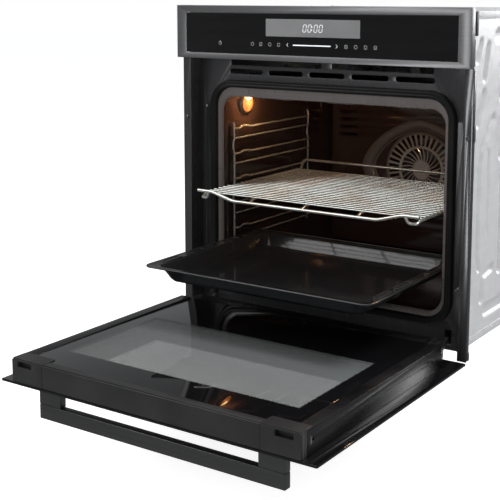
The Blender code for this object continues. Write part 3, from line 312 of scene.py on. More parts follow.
LOOKS = {
    **finishes(grained_metal, {
        "panel_steel": ("dark_steel", (0.13, 0.13, 0.133), (0.24, 0.24, 0.245), 0.36),
        "frame_steel": ("dark_steel", (0.046, 0.046, 0.048), (0.064, 0.064, 0.067), 0.27,
                        (900.0, 900.0, 5.0), 0.75),
        "handle_steel": ("handle_steel", (0.07, 0.07, 0.07), (0.15, 0.15, 0.15), 0.32),
        "bright_steel": ("steel", (0.40, 0.40, 0.40), (0.66, 0.66, 0.65), 0.30, (60.0, 60.0, 400.0), 1.0),
        # painted light: a lighter, glossier copy of the frame's steel, so the flanges read lit against the
        # recessed plate of the same sheet
        "flange_steel_painted_light": ("dark_steel", (0.075, 0.075, 0.077), (0.105, 0.105, 0.108), 0.20,
                         (300.0, 300.0, 2.0), 0.85),
        "dark_steel": ("steel", (0.10, 0.10, 0.10), (0.26, 0.26, 0.26), 0.24, (300.0, 300.0, 300.0)),
        "fan_enamel": ("enamel", (0.22, 0.205, 0.19), (0.40, 0.375, 0.36), 0.20, (40.0, 40.0, 40.0), 0.6),
        "band_enamel": ("enamel", (0.075, 0.070, 0.070), (0.12, 0.112, 0.112), 0.34, (30.0, 30.0, 30.0), 0.5),
    }),
    **finishes(gloss_enamel, {
        "cavity_enamel": ("enamel", (0.009, 0.0045, 0.0035), (0.045, 0.030, 0.025), 0.22),
        "tray_enamel": ("tray_enamel", (0.0045, 0.0047, 0.0052), (0.026, 0.028, 0.031), 0.12, 0.42),
    }),
    **finishes(moulded, {
        "display": ("display", (0.150, 0.151, 0.153), (0.178, 0.179, 0.182), 0.30, 90.0, 0.00001),
        "black_paint": ("black_paint", (0.004, 0.004, 0.0045), (0.010, 0.010, 0.011), 0.26, 700.0,
                        0.00004, 0.4),
        # painted shade: the galvanised air duct is coloured near black, so it reads as the shade it sits in
        # rather than as pale zinc
        "duct_painted_shade": ("galvanised", (0.006, 0.006, 0.006), (0.020, 0.020, 0.021), 0.5, 90.0, 0.0001),
        "lip_enamel": ("enamel", (0.086, 0.075, 0.072), (0.100, 0.088, 0.085), 0.26, 60.0, 0.00002),
        "rubber": ("rubber", (0.004, 0.004, 0.004), (0.009, 0.009, 0.009), 0.36, 500.0, 0.0001, 0.22),
        "plastic": ("plastic", (0.010, 0.010, 0.0105), (0.020, 0.020, 0.021), 0.42, 1400.0, 0.00006),
        "wool": ("wool", (0.52, 0.45, 0.24), (0.78, 0.71, 0.46), 0.9, 260.0, 0.002),
        "board": ("board", (0.006, 0.06, 0.022), (0.015, 0.14, 0.05), 0.45, 300.0, 0.0001),
    }),
    **finishes(window_glass, {
        "outer_glass": ("black_glass", (0.02, 0.02, 0.021), 0.55, 0.02),
        "inner_glass": ("clear_glass", (0.16, 0.17, 0.17), 0.60, 0.03),
    }),
    **finishes(lit_print, {
        "lit_print": ((0.72, 0.74, 0.76), 0.42),
        "dim_print": ((0.26, 0.265, 0.27), 0.06),
    }),
    "panel_glass": panel_glass(),
    "clear_glass": clear_glass(),
    "lamp_glass": lamp_glass(),
    "zinc": zinc_sheet(),
    "chrome": chrome_wire(),
}


# ---------------------------------------------------------------- shapes
def grown(ends, by):
    """A pair of ends moved apart, or together where by is negative."""
    return ends[0] - by, ends[1] + by


def on_side(side, near, far):
    """The ends along x of something on the left or the right of the oven."""
    return sorted((side * near, side * far))


def arc(centre, radius, start, end, steps):
    """Points of an arc in a plane."""
    turns = [math.radians(start + (end - start) * i / steps) for i in range(steps + 1)]
    return [(centre[0] + radius * math.cos(a), centre[1] + radius * math.sin(a)) for a in turns]


def rounded_rect(x, y, radius, steps=8):
    """A rectangle with round corners, anticlockwise."""
    corners = ((x[1] - radius, y[1] - radius), (x[0] + radius, y[1] - radius),
               (x[0] + radius, y[0] + radius), (x[1] - radius, y[0] + radius))
    points = []
    for i, corner in enumerate(corners):
        points += arc(corner, radius, 90 * i, 90 * i + 90, steps)
    return points


def eased(points, reach, steps=5):
    """The same route with each inner corner turned in a short curve."""
    route = [Vector(p) for p in points]
    out = [route[0]]
    for before, corner, after in zip(route, route[1:], route[2:]):
        start = corner + (before - corner).normalized() * min(reach, (before - corner).length / 2)
        end = corner + (after - corner).normalized() * min(reach, (after - corner).length / 2)
        for k in range(steps + 1):
            t = k / steps
            out.append(start * (1 - t) ** 2 + corner * 2 * t * (1 - t) + end * t * t)
    return out + [route[-1]]


PLANES = {
    "XY": Matrix.Identity(4),
    "XZ": Matrix.Rotation(math.radians(90), 4, "X"),
    "YZ": Matrix(((0, 0, 1, 0), (1, 0, 0, 0), (0, 1, 0, 0), (0, 0, 0, 1))),
}
NORMALS = {"XY": Vector((0, 0, 1)), "XZ": Vector((0, 1, 0)), "YZ": Vector((1, 0, 0))}


def from_curve(curve):
    """A curve's surface as a mesh, with its caps sewn on."""
    guide = bpy.data.objects.new("guide", curve)
    bpy.context.scene.collection.objects.link(guide)
    graph = bpy.context.evaluated_depsgraph_get()
    mesh = bpy.data.meshes.new_from_object(guide.evaluated_get(graph))
    bpy.data.objects.remove(guide)
    bpy.data.curves.remove(curve)
    return mesh


def add_spline(curve, points, closed):
    """A route of straight stretches, flat or in space."""
    spline = curve.splines.new("POLY")
    spline.points.add(len(points) - 1)
    for slot, point in zip(spline.points, points):
        slot.co = (*point, 0.0, 1.0) if len(point) == 2 else (*point, 1.0)
    spline.use_cyclic_u = closed


def take(bm, mesh, place=None):
    """Adds a mesh to the shape, sewn and facing outwards."""
    part = bmesh.new()
    part.from_mesh(mesh)
    bpy.data.meshes.remove(mesh)
    bmesh.ops.remove_doubles(part, verts=part.verts, dist=0.002)
    bmesh.ops.recalc_face_normals(part, faces=part.faces)
    if place:
        part.transform(place)
    join(bm, part)


def join(bm, part):
    """Moves a part into the shape."""
    mesh = bpy.data.meshes.new("joint")
    part.to_mesh(mesh)
    part.free()
    bm.from_mesh(mesh)
    bpy.data.meshes.remove(mesh)


def slab(bm, outlines, low, high, plane="XZ", edge=0.3):
    """A flat sheet between two depths; the first outline is its rim and the others are holes."""
    curve = bpy.data.curves.new("slab", "CURVE")
    curve.dimensions = "2D"
    curve.fill_mode = "BOTH"
    curve.extrude = (high - low) / 2 - edge
    curve.bevel_depth = edge
    curve.bevel_resolution = 1
    curve.offset = -edge
    for outline in outlines:
        add_spline(curve, outline, True)
    take(bm, from_curve(curve), Matrix.Translation(NORMALS[plane] * (low + high) / 2) @ PLANES[plane])


def wire(bm, points, radius, closed=False, roundness=3):
    """A bent round bar."""
    curve = bpy.data.curves.new("wire", "CURVE")
    curve.dimensions = "3D"
    curve.bevel_depth = radius
    curve.bevel_resolution = roundness
    curve.use_fill_caps = True
    add_spline(curve, points, closed)
    take(bm, from_curve(curve))


def cuboid(bm, x, y, z, edge=0.5, segments=2):
    """A block with rounded edges."""
    ends = [sorted(pair) for pair in (x, y, z)]
    made = bmesh.ops.create_cube(bm, size=1.0)["verts"]
    bmesh.ops.scale(bm, vec=[b - a for a, b in ends], verts=made)
    bmesh.ops.translate(bm, vec=[(a + b) / 2 for a, b in ends], verts=made)
    rims = list({e for v in made for e in v.link_edges})
    bmesh.ops.bevel(bm, geom=rims, offset=edge, offset_type="OFFSET", affect="EDGES",
                    segments=segments, profile=0.5, material=-1)


def loft(bm, rings, close_last=False, wrap=False):
    """Skins rings of points, each to the next."""
    part = bmesh.new()
    loops = []
    for ring in rings:
        verts = [part.verts.new(p) for p in ring]
        loops.append([part.edges.new((verts[i - 1], verts[i])) for i in range(len(verts))])
    pairs = list(zip(loops, loops[1:])) + ([(loops[-1], loops[0])] if wrap else [])
    for first, second in pairs:
        bmesh.ops.bridge_loops(part, edges=first + second)
    if close_last:
        bmesh.ops.edgeloop_fill(part, edges=loops[-1])
    bmesh.ops.recalc_face_normals(part, faces=part.faces)
    join(bm, part)


def turned(bm, profile, centre, axis="Y", steps=40):
    """Spins a profile of (radius, depth) pairs round an axis through the centre."""
    part = bmesh.new()
    across = Vector((1, 0, 0)) if axis != "X" else Vector((0, 0, 1))
    along = {"X": Vector((1, 0, 0)), "Y": Vector((0, 1, 0)), "Z": Vector((0, 0, 1))}[axis]
    verts = [part.verts.new(Vector(centre) + across * r + along * d) for r, d in profile]
    edges = [part.edges.new(pair) for pair in zip(verts, verts[1:])]
    bmesh.ops.spin(part, geom=verts + edges, cent=centre, axis=along, angle=2 * math.pi,
                   steps=steps, use_merge=True)
    bmesh.ops.remove_doubles(part, verts=part.verts, dist=0.01)
    bmesh.ops.recalc_face_normals(part, faces=part.faces)
    join(bm, part)


def ring(x, z, radius, out, y, steps=8):
    """A rounded rectangle grown outwards, at a depth."""
    flat = rounded_rect(grown(x, out), grown(z, out), max(radius + out, 1.0), steps)
    return [(u, y, w) for u, w in flat]


def softened(node, edge, segments=2):
    """A CAD node's own shape with its sharp edges rounded."""
    bm = bmesh.new()
    bm.from_mesh(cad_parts[node].data)
    bm.transform(PLACE.inverted())
    bmesh.ops.remove_doubles(bm, verts=bm.verts, dist=0.005)
    bmesh.ops.dissolve_limit(bm, angle_limit=math.radians(1.0), verts=bm.verts, edges=bm.edges)
    sharp = [e for e in bm.edges if len(e.link_faces) == 2 and e.calc_face_angle() > math.radians(32)]
    bmesh.ops.bevel(bm, geom=sharp, offset=edge, offset_type="OFFSET", affect="EDGES",
                    segments=segments, profile=0.5, material=-1, clamp_overlap=True)
    return bm


def pressed(bm, u, v, level, plane, shapes, slots, outward=1.0, pitch=3.2):
    """A sheet with pressed relief: shapes are (start, end, half width, height), slots are holes."""
    part = bmesh.new()
    columns, rows = round((u[1] - u[0]) / pitch), round((v[1] - v[0]) / pitch)
    verts = bmesh.ops.create_grid(part, x_segments=columns, y_segments=rows, size=0.5)["verts"]
    bmesh.ops.scale(part, vec=(u[1] - u[0], v[1] - v[0], 1.0), verts=verts)
    bmesh.ops.translate(part, vec=(sum(u) / 2, sum(v) / 2, 0.0), verts=verts)
    for vert in part.verts:
        vert.co.z = outward * relief_height(vert.co.xy, shapes)
    gone = [f for f in part.faces if any(
        s[0] < f.calc_center_median().x < s[1] and s[2] < f.calc_center_median().y < s[3] for s in slots)]
    bmesh.ops.delete(part, geom=gone, context="FACES")
    part.normal_update()
    bmesh.ops.solidify(part, geom=part.faces, thickness=GAUGE)
    bmesh.ops.recalc_face_normals(part, faces=part.faces)
    part.transform(Matrix.Translation(NORMALS[plane] * level) @ PLANES[plane])
    join(bm, part)


def relief_height(point, shapes):
    """Height of the pressed relief: each shape is a soft-edged bar between two points."""
    height = 0.0
    for start, end, half, rise in shapes:
        a, b = Vector(start), Vector(end)
        t = max(0.0, min(1.0, (point - a).dot(b - a) / max((b - a).length_squared, 1e-6)))
        gap = (point - a - (b - a) * t).length
        inside = max(0.0, min(1.0, (half + 4.0 - gap) / 6.5))
        lift = rise * inside * inside * (3 - 2 * inside)
        height = lift if abs(lift) > abs(height) else height
    return height


FRONT_STEEL = bpy.data.collections.new("front_steel")    # pieces that the sheen box lights


def piece(name, bm, look, body="housing", nodes=(), smooth=38):
    """Finishes a shape: places it in the frame, gives it its look and its body."""
    bmesh.ops.transform(bm, matrix=PLACE, verts=bm.verts)
    mesh = bpy.data.meshes.new(name)
    bm.to_mesh(mesh)
    bm.free()
    mesh.shade_smooth()
    mesh.set_sharp_from_angle(angle=math.radians(smooth))
    mesh.materials.append(LOOKS[look].material)
    made = bpy.data.objects.new(name, mesh)
    bpy.context.scene.collection.objects.link(made)
    if look in ("panel_steel", "frame_steel", "flange_steel_painted_light"):
        FRONT_STEEL.objects.link(made)
    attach(made, body)
    if nodes:
        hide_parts(*nodes)
    return made


# ---------------------------------------------------------------- front
DIGIT_LEAN = 0.14


def zero_digit(bm, x, z, width, height, stroke, y):
    """The six lit bars of a seven-bar zero, leaning a little."""
    bars = (((0, 0), (1, 0)), ((0, 1), (1, 1)), ((0, 0), (0, 0.5)), ((0, 0.5), (0, 1)),
            ((1, 0), (1, 0.5)), ((1, 0.5), (1, 1)))
    for (u0, v0), (u1, v1) in bars:
        start = Vector((x + u0 * width + DIGIT_LEAN * v0 * height, z + v0 * height))
        end = Vector((x + u1 * width + DIGIT_LEAN * v1 * height, z + v1 * height))
        along = (end - start).normalized()
        side = Vector((-along.y, along.x)) * stroke / 2
        start, end = start + along * stroke * 0.35, end - along * stroke * 0.35
        tip = along * stroke / 2
        slab(bm, [[start, start + tip + side, end - tip + side, end, end - tip - side, start + tip - side]],
             y - 0.08, y, edge=0.02)


def touch_marks(y):
    """Generic lit marks on the control glass: a slider, arrows, rings and boxes with bars."""
    bright, dim = bmesh.new(), bmesh.new()
    z = PANEL_BOTTOM + 29.5
    slab(bright, [rounded_rect((-38.6, 38.6), (z - 1.0, z + 1.0), 0.9, 3)], y - 0.08, y, edge=0.02)
    for x, turn in ((-50.0, -1), (50.6, 1)):
        for rise in (-1, 1):
            tip, tail = Vector((x + turn * 1.6, z)), Vector((x - turn * 1.6, z + rise * 3.2))
            across = Vector((0.0, 0.45))
            slab(bright, [[tip - across, tip + across, tail + across, tail - across][::rise]],
                 y - 0.08, y, edge=0.02)
    for x in (-197.0, -125.0, -87.5, 88.0):
        slab(dim, [arc((x, z), 3.4, 0, 350, 24), arc((x, z), 2.5, 0, 350, 24)], y - 0.08, y, edge=0.02)
    slab(dim, [rounded_rect((-197.5, -196.5), (z, z + 4.6), 0.4, 2)], y - 0.09, y - 0.01, edge=0.02)
    for x in (-107.0, -68.6, 69.0, 107.0, 125.7):
        outline = rounded_rect((x - 2.9, x + 2.9), (z - 3.2, z + 3.2), 0.8, 3)
        hole = rounded_rect((x - 2.1, x + 2.1), (z - 2.4, z + 2.4), 0.4, 3)
        slab(dim, [outline, hole], y - 0.08, y, edge=0.02)
    for x, rows in ((-107.0, 2), (-68.6, 1), (69.0, 3), (107.0, 1), (125.7, 2)):
        for row in range(rows):
            low = z - 1.4 + row * 1.3
            slab(dim, [rounded_rect((x - 1.2, x + 1.2), (low, low + 0.6), 0.25, 2)], y - 0.08, y, edge=0.02)
    return bright, dim


def make_control_panel():
    """Frame, glass, display, clock digits and touch marks."""
    bm = bmesh.new()
    outer = rounded_rect(PANEL_X, PANEL_Z, 1.0, 4)
    rim = rounded_rect(grown(GLASS_X, 0.3), grown(GLASS_Z, 0.3), 0.8, 4)
    slab(bm, [outer, rim], PANEL_Y[0], PANEL_Y[0] + 1.5, edge=0.45)
    wall = 1.4
    for x in ((PANEL_X[0], PANEL_X[0] + wall), (PANEL_X[1] - wall, PANEL_X[1])):
        cuboid(bm, x, (PANEL_Y[0] + 0.6, PANEL_Y[1]), grown(PANEL_Z, -0.3), 0.3)
    for z in ((PANEL_Z[0], PANEL_Z[0] + wall), (PANEL_Z[1] - wall, PANEL_Z[1])):
        cuboid(bm, grown(PANEL_X, -0.3), (PANEL_Y[0] + 0.6, PANEL_Y[1]), z, 0.3)
    piece("control_panel", bm, "panel_steel", nodes=["control_panel_frame"])

    bm = bmesh.new()
    face = GLASS_Y[0]
    slab(bm, [rounded_rect(GLASS_X, GLASS_Z, 0.8, 4)], face, GLASS_Y[1], edge=0.5)
    piece("control_glass_pane", bm, "panel_glass", nodes=["control_glass"])
    bm = bmesh.new()
    slab(bm, [rounded_rect((-96.0, 96.0), (GLASS_Z[1] - 41.0, GLASS_Z[1] - 10.0), 1.2, 3)],
         face - 0.06, face + 0.04, edge=0.02)
    piece("display_window", bm, "display")
    bm = bmesh.new()
    height, width, z = 12.5, 6.2, GLASS_Z[1] - 32.0
    for x in (-18.4, -8.2, 4.2, 14.4):
        zero_digit(bm, x, z, width, height, 1.15, face - 0.06)
    for rise in (0.3, 0.7):
        dot = (-0.4 + DIGIT_LEAN * rise * height, z + rise * height)
        slab(bm, [arc(dot, 0.95, 0, 330, 11)], face - 0.14, face - 0.06, edge=0.02)
    piece("clock_digits", bm, "lit_print")
    bright, dim = touch_marks(face)
    piece("slider_mark", bright, "lit_print")
    piece("touch_marks", dim, "dim_print")


def front_plate_outlines():
    """The plate round the cavity: rim, mouth, cooling-air openings, hinge slots and small holes."""
    outlines = [rounded_rect(grown(FRAME_X, -16.5), (4.0, FRAME_Z[1]), 0.8, 3),
                rounded_rect(grown(LIP_X, 0.4), grown(LIP_Z, 0.4), LIP_RADIUS, 12)]
    top = PANEL_BOTTOM - 3.5
    for side in (-1, 1):
        outlines.append(rounded_rect(on_side(side, 10.9, 209.5), (top - 11.0, top), 3.2, 5))
        outlines.append(rounded_rect(on_side(side, 242.0, 254.0), (12.5, 40.0), 1.2, 4))
        for z in (120.0, 400.0):
            outlines.append(arc((side * 268.0, z), 2.2, 0, 345, 20))
    for i in range(5):
        x = (i - 2) * 87.6
        outlines.append(rounded_rect((x - 36.7, x + 36.7), (top - 27.5, top - 18.0), 4.5, 6))
    return outlines


def make_front_frame():
    """The recessed plate, the walls beside it, and the flanges with their screws and edge buffers."""
    bm, strips, washers = bmesh.new(), bmesh.new(), bmesh.new()
    slab(bm, front_plate_outlines(), RECESS_Y, RECESS_Y + GAUGE, edge=0.3)
    washer = [(2.7, 0.6), (2.7, -0.5), (3.6, -0.9), (4.6, -0.2), (4.6, 0.4), (2.7, 0.6)]
    for side in (-1, 1):
        wall, edge = side * FLANGE_INNER_X, side * FRAME_X[1]
        flange = rounded_rect(sorted((wall, edge)), (0.0, PANEL_BOTTOM - 0.5), 0.9, 3)
        hole = arc((side * SCREW_X, SCREW_Z), 2.5, 0, 345, 24)
        slab(strips, [flange, hole], 0.0, GAUGE, edge=0.35)
        turned(washers, washer, (side * SCREW_X, 0.0, SCREW_Z), "Y", 28)
        outline = rounded_rect((0.0, RECESS_Y + 0.6), (0.0, FRAME_Z[1]), 0.6, 3)
        holes = [rounded_rect((14.0, 22.0), (low, low + 18.0), 3.0, 5) for low in WALL_OPENINGS]
        slab(bm, [outline] + holes, *sorted((wall, wall + side * GAUGE)), plane="YZ", edge=0.25)
        cuboid(strips, (edge - side * 0.6, edge), (0.2, 9.0), (3.0, PANEL_BOTTOM - 4.0), 0.25)
        for low in WALL_OPENINGS:
            cuboid(bm, (wall + side * 1.0, wall + side * 5.0), (12.0, 24.0), (low - 3.0, low + 21.0), 0.4)
    piece("front_frame_sheet", bm, "frame_steel", nodes=["front_frame"])
    # the flanges take the lighter copy of the frame's steel: painted light
    piece("front_flanges", strips, "flange_steel_painted_light")
    piece("screw_washers", washers, "handle_steel", smooth=50)
    bm = bmesh.new()
    for side in (-1, 1):
        for heights in BUFFER_HEIGHTS:
            cuboid(bm, (side * 295.4, side * 298.6), (1.4, 10.0), heights, 0.8)
    piece("edge_buffers", bm, "plastic")
    for word, side in SIDES:
        bm = softened("mounting_screw_" + word, 0.2)
        piece("flange_screw_" + word, bm, "dark_steel", nodes=["mounting_screw_" + word])


# ---------------------------------------------------------------- housing
def side_shapes():
    """Pressed bosses of a side panel, as (y, z) bars."""
    y0, z0 = SIDE_Y[0], SIDE_Z[0]
    bars = [((10, 20), (10, 470), 2, 2.0), ((38, 522), (24, 494), 5, 3.0), ((70, 514), (56, 462), 6, 3.0),
            ((57, 434), (32, 386), 7, 3.0), ((102, 388), (78, 362), 6, 3.0),
            ((78, 362), (52, 336), 5, 3.0), ((52, 336), (44, 300), 5, 3.0),
            ((44, 300), (44, 150), 4, 3.0), ((44, 150), (54, 128), 5, 3.0),
            ((86, 330), (86, 190), 2, 1.8), ((80, 112), (118, 118), 6, 3.0),
            ((70, 70), (70, 104), 8, 3.0), ((110, 530), (190, 530), 9, 3.5),
            ((140, 430), (170, 490), 14, 5.0), ((150, 330), (190, 400), 22, 6.0),
            ((150, 110), (150, 290), 9, 4.0), ((215, 90), (215, 260), 20, 5.5),
            ((255, 300), (300, 420), 26, 6.0), ((300, 120), (300, 250), 12, 4.5),
            ((350, 180), (350, 430), 16, 5.0), ((400, 90), (440, 160), 20, 5.5),
            ((430, 230), (430, 420), 18, 5.0), ((300, 490), (450, 490), 20, 5.5),
            ((270, 545), (470, 545), 9, 3.5), ((90, 45), (450, 45), 10, 3.0)]
    return [((y0 + a[0], z0 + a[1]), (y0 + b[0], z0 + b[1]), half, 1.7 * rise) for a, b, half, rise in bars]


def rivet(bm, x, y, z, axis, out):
    """A domed rivet head."""
    profile = [(0.01, 1.3), (1.2, 1.15), (2.2, 0.6), (2.7, 0.0), (2.7, -0.6)]
    turned(bm, [(r, out * d) for r, d in profile], (x, y, z), axis, 14)


def make_housing():
    """Side panels with pressed bosses, the lid, and the rear panel round the cord gland."""
    hem_y = grown(SIDE_Y, -3)
    for word, side in SIDES:
        bm = bmesh.new()
        slots = [(SIDE_Y[0] + 6.0, SIDE_Y[0] + 13.0, SIDE_Z[1] - 89.0, SIDE_Z[1] - 44.0)]
        level = side * (SIDE_X[1] - GAUGE)
        pressed(bm, SIDE_Y, SIDE_Z, level, "YZ", side_shapes(), slots, outward=-side)
        cuboid(bm, on_side(side, 266.0, 278.2), (SIDE_Y[0], SIDE_Y[0] + GAUGE), grown(SIDE_Z, -50), 0.2)
        for hem_z in ((SIDE_Z[0] + 0.4, SIDE_Z[0] + 13), (SIDE_Z[1] - 12, SIDE_Z[1] - 0.4)):
            cuboid(bm, on_side(side, 277.9, 279.1), hem_y, hem_z, 0.4)
        for i in range(6):
            y = SIDE_Y[0] + 25 + i * 92
            for z in (SIDE_Z[0] + 7, SIDE_Z[1] - 6):
                rivet(bm, side * 279.0, y, z, "X", side)
        piece("housing_panel_" + word, bm, "zinc", nodes=["housing_side_" + word], smooth=50)

    bm = bmesh.new()
    slots = [(-80.0 + 30 * i, -68.0 + 30 * i, TOP_Y[1] - 117, TOP_Y[1] - 47) for i in range(6)]
    raised = [((-200, 120), (200, 120), 26, 3.0), ((-200, 220), (200, 220), 26, 3.0),
              ((-200, 330), (-200, 480), 22, 3.0), ((200, 330), (200, 480), 22, 3.0),
              ((-110, 330), (110, 330), 18, 3.0)]
    pressed(bm, TOP_X, TOP_Y, TOP_Z[1] - GAUGE, "XY", raised, slots, outward=-1.0)
    for x in (TOP_X[0] + 8, TOP_X[1] - 8):
        for i in range(6):
            rivet(bm, x, TOP_Y[0] + 25 + i * 92, TOP_Z[1], "Z", 1)
    piece("housing_lid", bm, "zinc", nodes=["housing_top"], smooth=50)

    bm = bmesh.new()
    back_x, back_y, back_z = span("housing_back")
    gland_x = sum(span("cord_gland")[0]) / 2
    gland_z = sum(span("cord_gland")[2]) / 2
    slots = [(-90.0, 90.0, low, low + 7.0) for low in (500.0, 514.0, 528.0, 542.0, 556.0)]
    slots.append((gland_x - 13, gland_x + 13, gland_z - 13, gland_z + 13))
    ribs = [((-200, 90), (-200, 430), 20, 4.0), ((200, 90), (200, 430), 20, 4.0),
            ((-120, 90), (120, 90), 16, 4.0), ((-60, 200), (60, 320), 14, 4.0),
            ((60, 200), (-60, 320), 14, 4.0), ((-120, 430), (120, 430), 16, 4.0),
            ((-215, 500), (-130, 500), 16, 4.0)]
    pressed(bm, back_x, back_z, back_y[1] - GAUGE, "XZ", ribs, slots, outward=1.0)
    slab(bm, [rounded_rect((gland_x - 19, gland_x + 19), (gland_z - 19, gland_z + 19), 4.0, 5),
              arc((gland_x, gland_z), 11.4, 0, 350, 36)], back_y[1] - 1.2, back_y[1], edge=0.25)
    for x in (back_x[0] + 9, 0.0, back_x[1] - 9):
        for z in (back_z[0] + 9, sum(back_z) / 2 + 100, back_z[1] - 9):
            rivet(bm, x, back_y[1], z, "Y", 1)
    piece("housing_rear_panel", bm, "zinc", nodes=["housing_back"], smooth=50)


# ---------------------------------------------------------------- cavity
def make_liner():
    """The lip round the mouth, the cavity behind it and the gasket before it."""
    lip = [ring(LIP_X, LIP_Z, LIP_RADIUS, 0.0, RECESS_Y + 0.4, 12),
           ring(LIP_X, LIP_Z, LIP_RADIUS, -0.6, RECESS_Y - 0.8, 12),
           ring(LIP_X, LIP_Z, LIP_RADIUS, -2.5, RECESS_Y - 0.8, 12),
           ring(MOUTH_X, (MOUTH_Z[0], MOUTH_Z[1] + 5.0), MOUTH_RADIUS + 2, 2.0, RECESS_Y + 1.2, 12),
           ring(MOUTH_X, MOUTH_Z, MOUTH_RADIUS, 1.2, RECESS_Y + 3.0, 12),
           ring(MOUTH_X, MOUTH_Z, MOUTH_RADIUS, 0.0, RECESS_Y + 5.5, 12)]
    shell = [lip[-1],
             ring(MOUTH_X, MOUTH_Z, MOUTH_RADIUS - 2, 0.2, RECESS_Y + 9.0, 12),
             ring(CAVITY_X, CAVITY_Z, CAVITY_RADIUS, 0.0, RECESS_Y + 16.0, 12),
             ring(CAVITY_X, CAVITY_Z, CAVITY_RADIUS, 0.0, CAVITY_BACK - 9.0, 12),
             ring(CAVITY_X, CAVITY_Z, CAVITY_RADIUS, -3.0, CAVITY_BACK - 2.6, 12),
             ring(CAVITY_X, CAVITY_Z, CAVITY_RADIUS, -9.0, CAVITY_BACK, 12)]
    for name, rings, look, nodes in (("cavity_lip", lip, "lip_enamel", []),
                                     ("cavity_shell", shell, "cavity_enamel", ["cavity_liner"])):
        bm = bmesh.new()
        loft(bm, rings, close_last=bool(nodes))
        bmesh.ops.solidify(bm, geom=bm.faces, thickness=-0.7)
        bmesh.ops.recalc_face_normals(bm, faces=bm.faces)
        piece(name, bm, look, nodes=nodes, smooth=45)

    bm = bmesh.new()
    middle_x, middle_z = grown(LIP_X, 7.4), grown(LIP_Z, 7.4)
    profile = [(-6.9, 34.7), (-7.0, 30.5), (-6.2, 27.6), (-4.4, 25.6), (-2.2, 24.9), (-0.8, 26.0),
               (0.8, 26.0), (2.2, 24.9), (4.4, 25.6), (6.2, 27.6), (7.0, 30.5), (6.9, 34.7)]
    loft(bm, [ring(middle_x, middle_z, LIP_RADIUS + 7, out, y, 14) for out, y in profile], wrap=True)
    piece("mouth_gasket", bm, "rubber", nodes=["door_gasket"], smooth=60)


def oval_ring(half_width, half_height, y, steps=72, power=1.6):
    """The pointed oval round the fan, at a depth."""
    points = []
    for i in range(steps):
        c, s = math.cos(2 * math.pi * i / steps), math.sin(2 * math.pi * i / steps)
        points.append((half_width * math.copysign(abs(c) ** (2 / power), c), y,
                       FAN_Z + half_height * math.copysign(abs(s) ** (2 / power), s)))
    return points


def dome_depth(radius):
    """Depth of the slotted disc at a distance from its middle."""
    return 438.5 - 4.0 * (radius / 78.0) ** 2


def make_fan_cover():
    """Louvred panel at the cavity's back, with the oval band and the disc over the fan."""
    bm, face = bmesh.new(), FAN_FACE
    louvre = (COVER_X[1] - 64.0, COVER_X[1] - 15.0)
    outlines = [rounded_rect(COVER_X, COVER_Z, 14.0, 8), arc((0.0, FAN_Z), 77.0, 0, 355, 71)]
    for side in (-1, 1):
        for low in (FAN_Z + 60.0, FAN_Z - 115.0):
            for i in range(4):
                z = low + 16.5 * i
                outlines.append(rounded_rect(on_side(side, *louvre), (z, z + 7.5), 3.5, 4))
        outlines.append(arc((side * (COVER_X[1] - 14.0), COVER_Z[1] - 16.0), 3.0, 0, 340, 18))
    slab(bm, outlines, face, face + 0.9, edge=0.3)
    piece("fan_cover_panel", bm, "cavity_enamel", nodes=["fan_cover"], smooth=42)

    bm = bmesh.new()
    band = [(141, 109, face + 0.1), (140, 108, face - 3.6), (137, 105.5, face - 5.6), (127, 98, face - 6.2),
            (117, 91, face - 5.6), (114, 88.5, face - 3.6), (112.5, 87, face - 0.6), (109, 84.5, face - 0.2),
            (108, 84, face + 0.6)]
    loft(bm, [oval_ring(w, h, y) for w, h, y in band], wrap=True)
    rim = [(82.5, face + 0.5), (82.0, face - 2.2), (79.5, face - 3.8), (77.0, face - 3.4),
           (75.0, dome_depth(75.0)), (75.0, dome_depth(75.0) + 1.2), (78.0, face - 1.6), (80.0, face + 0.5)]
    turned(bm, rim + rim[:1], (0.0, 0.0, FAN_Z), "Y", 90)
    piece("fan_cover_band", bm, "band_enamel", smooth=50)
    make_fan_disc()


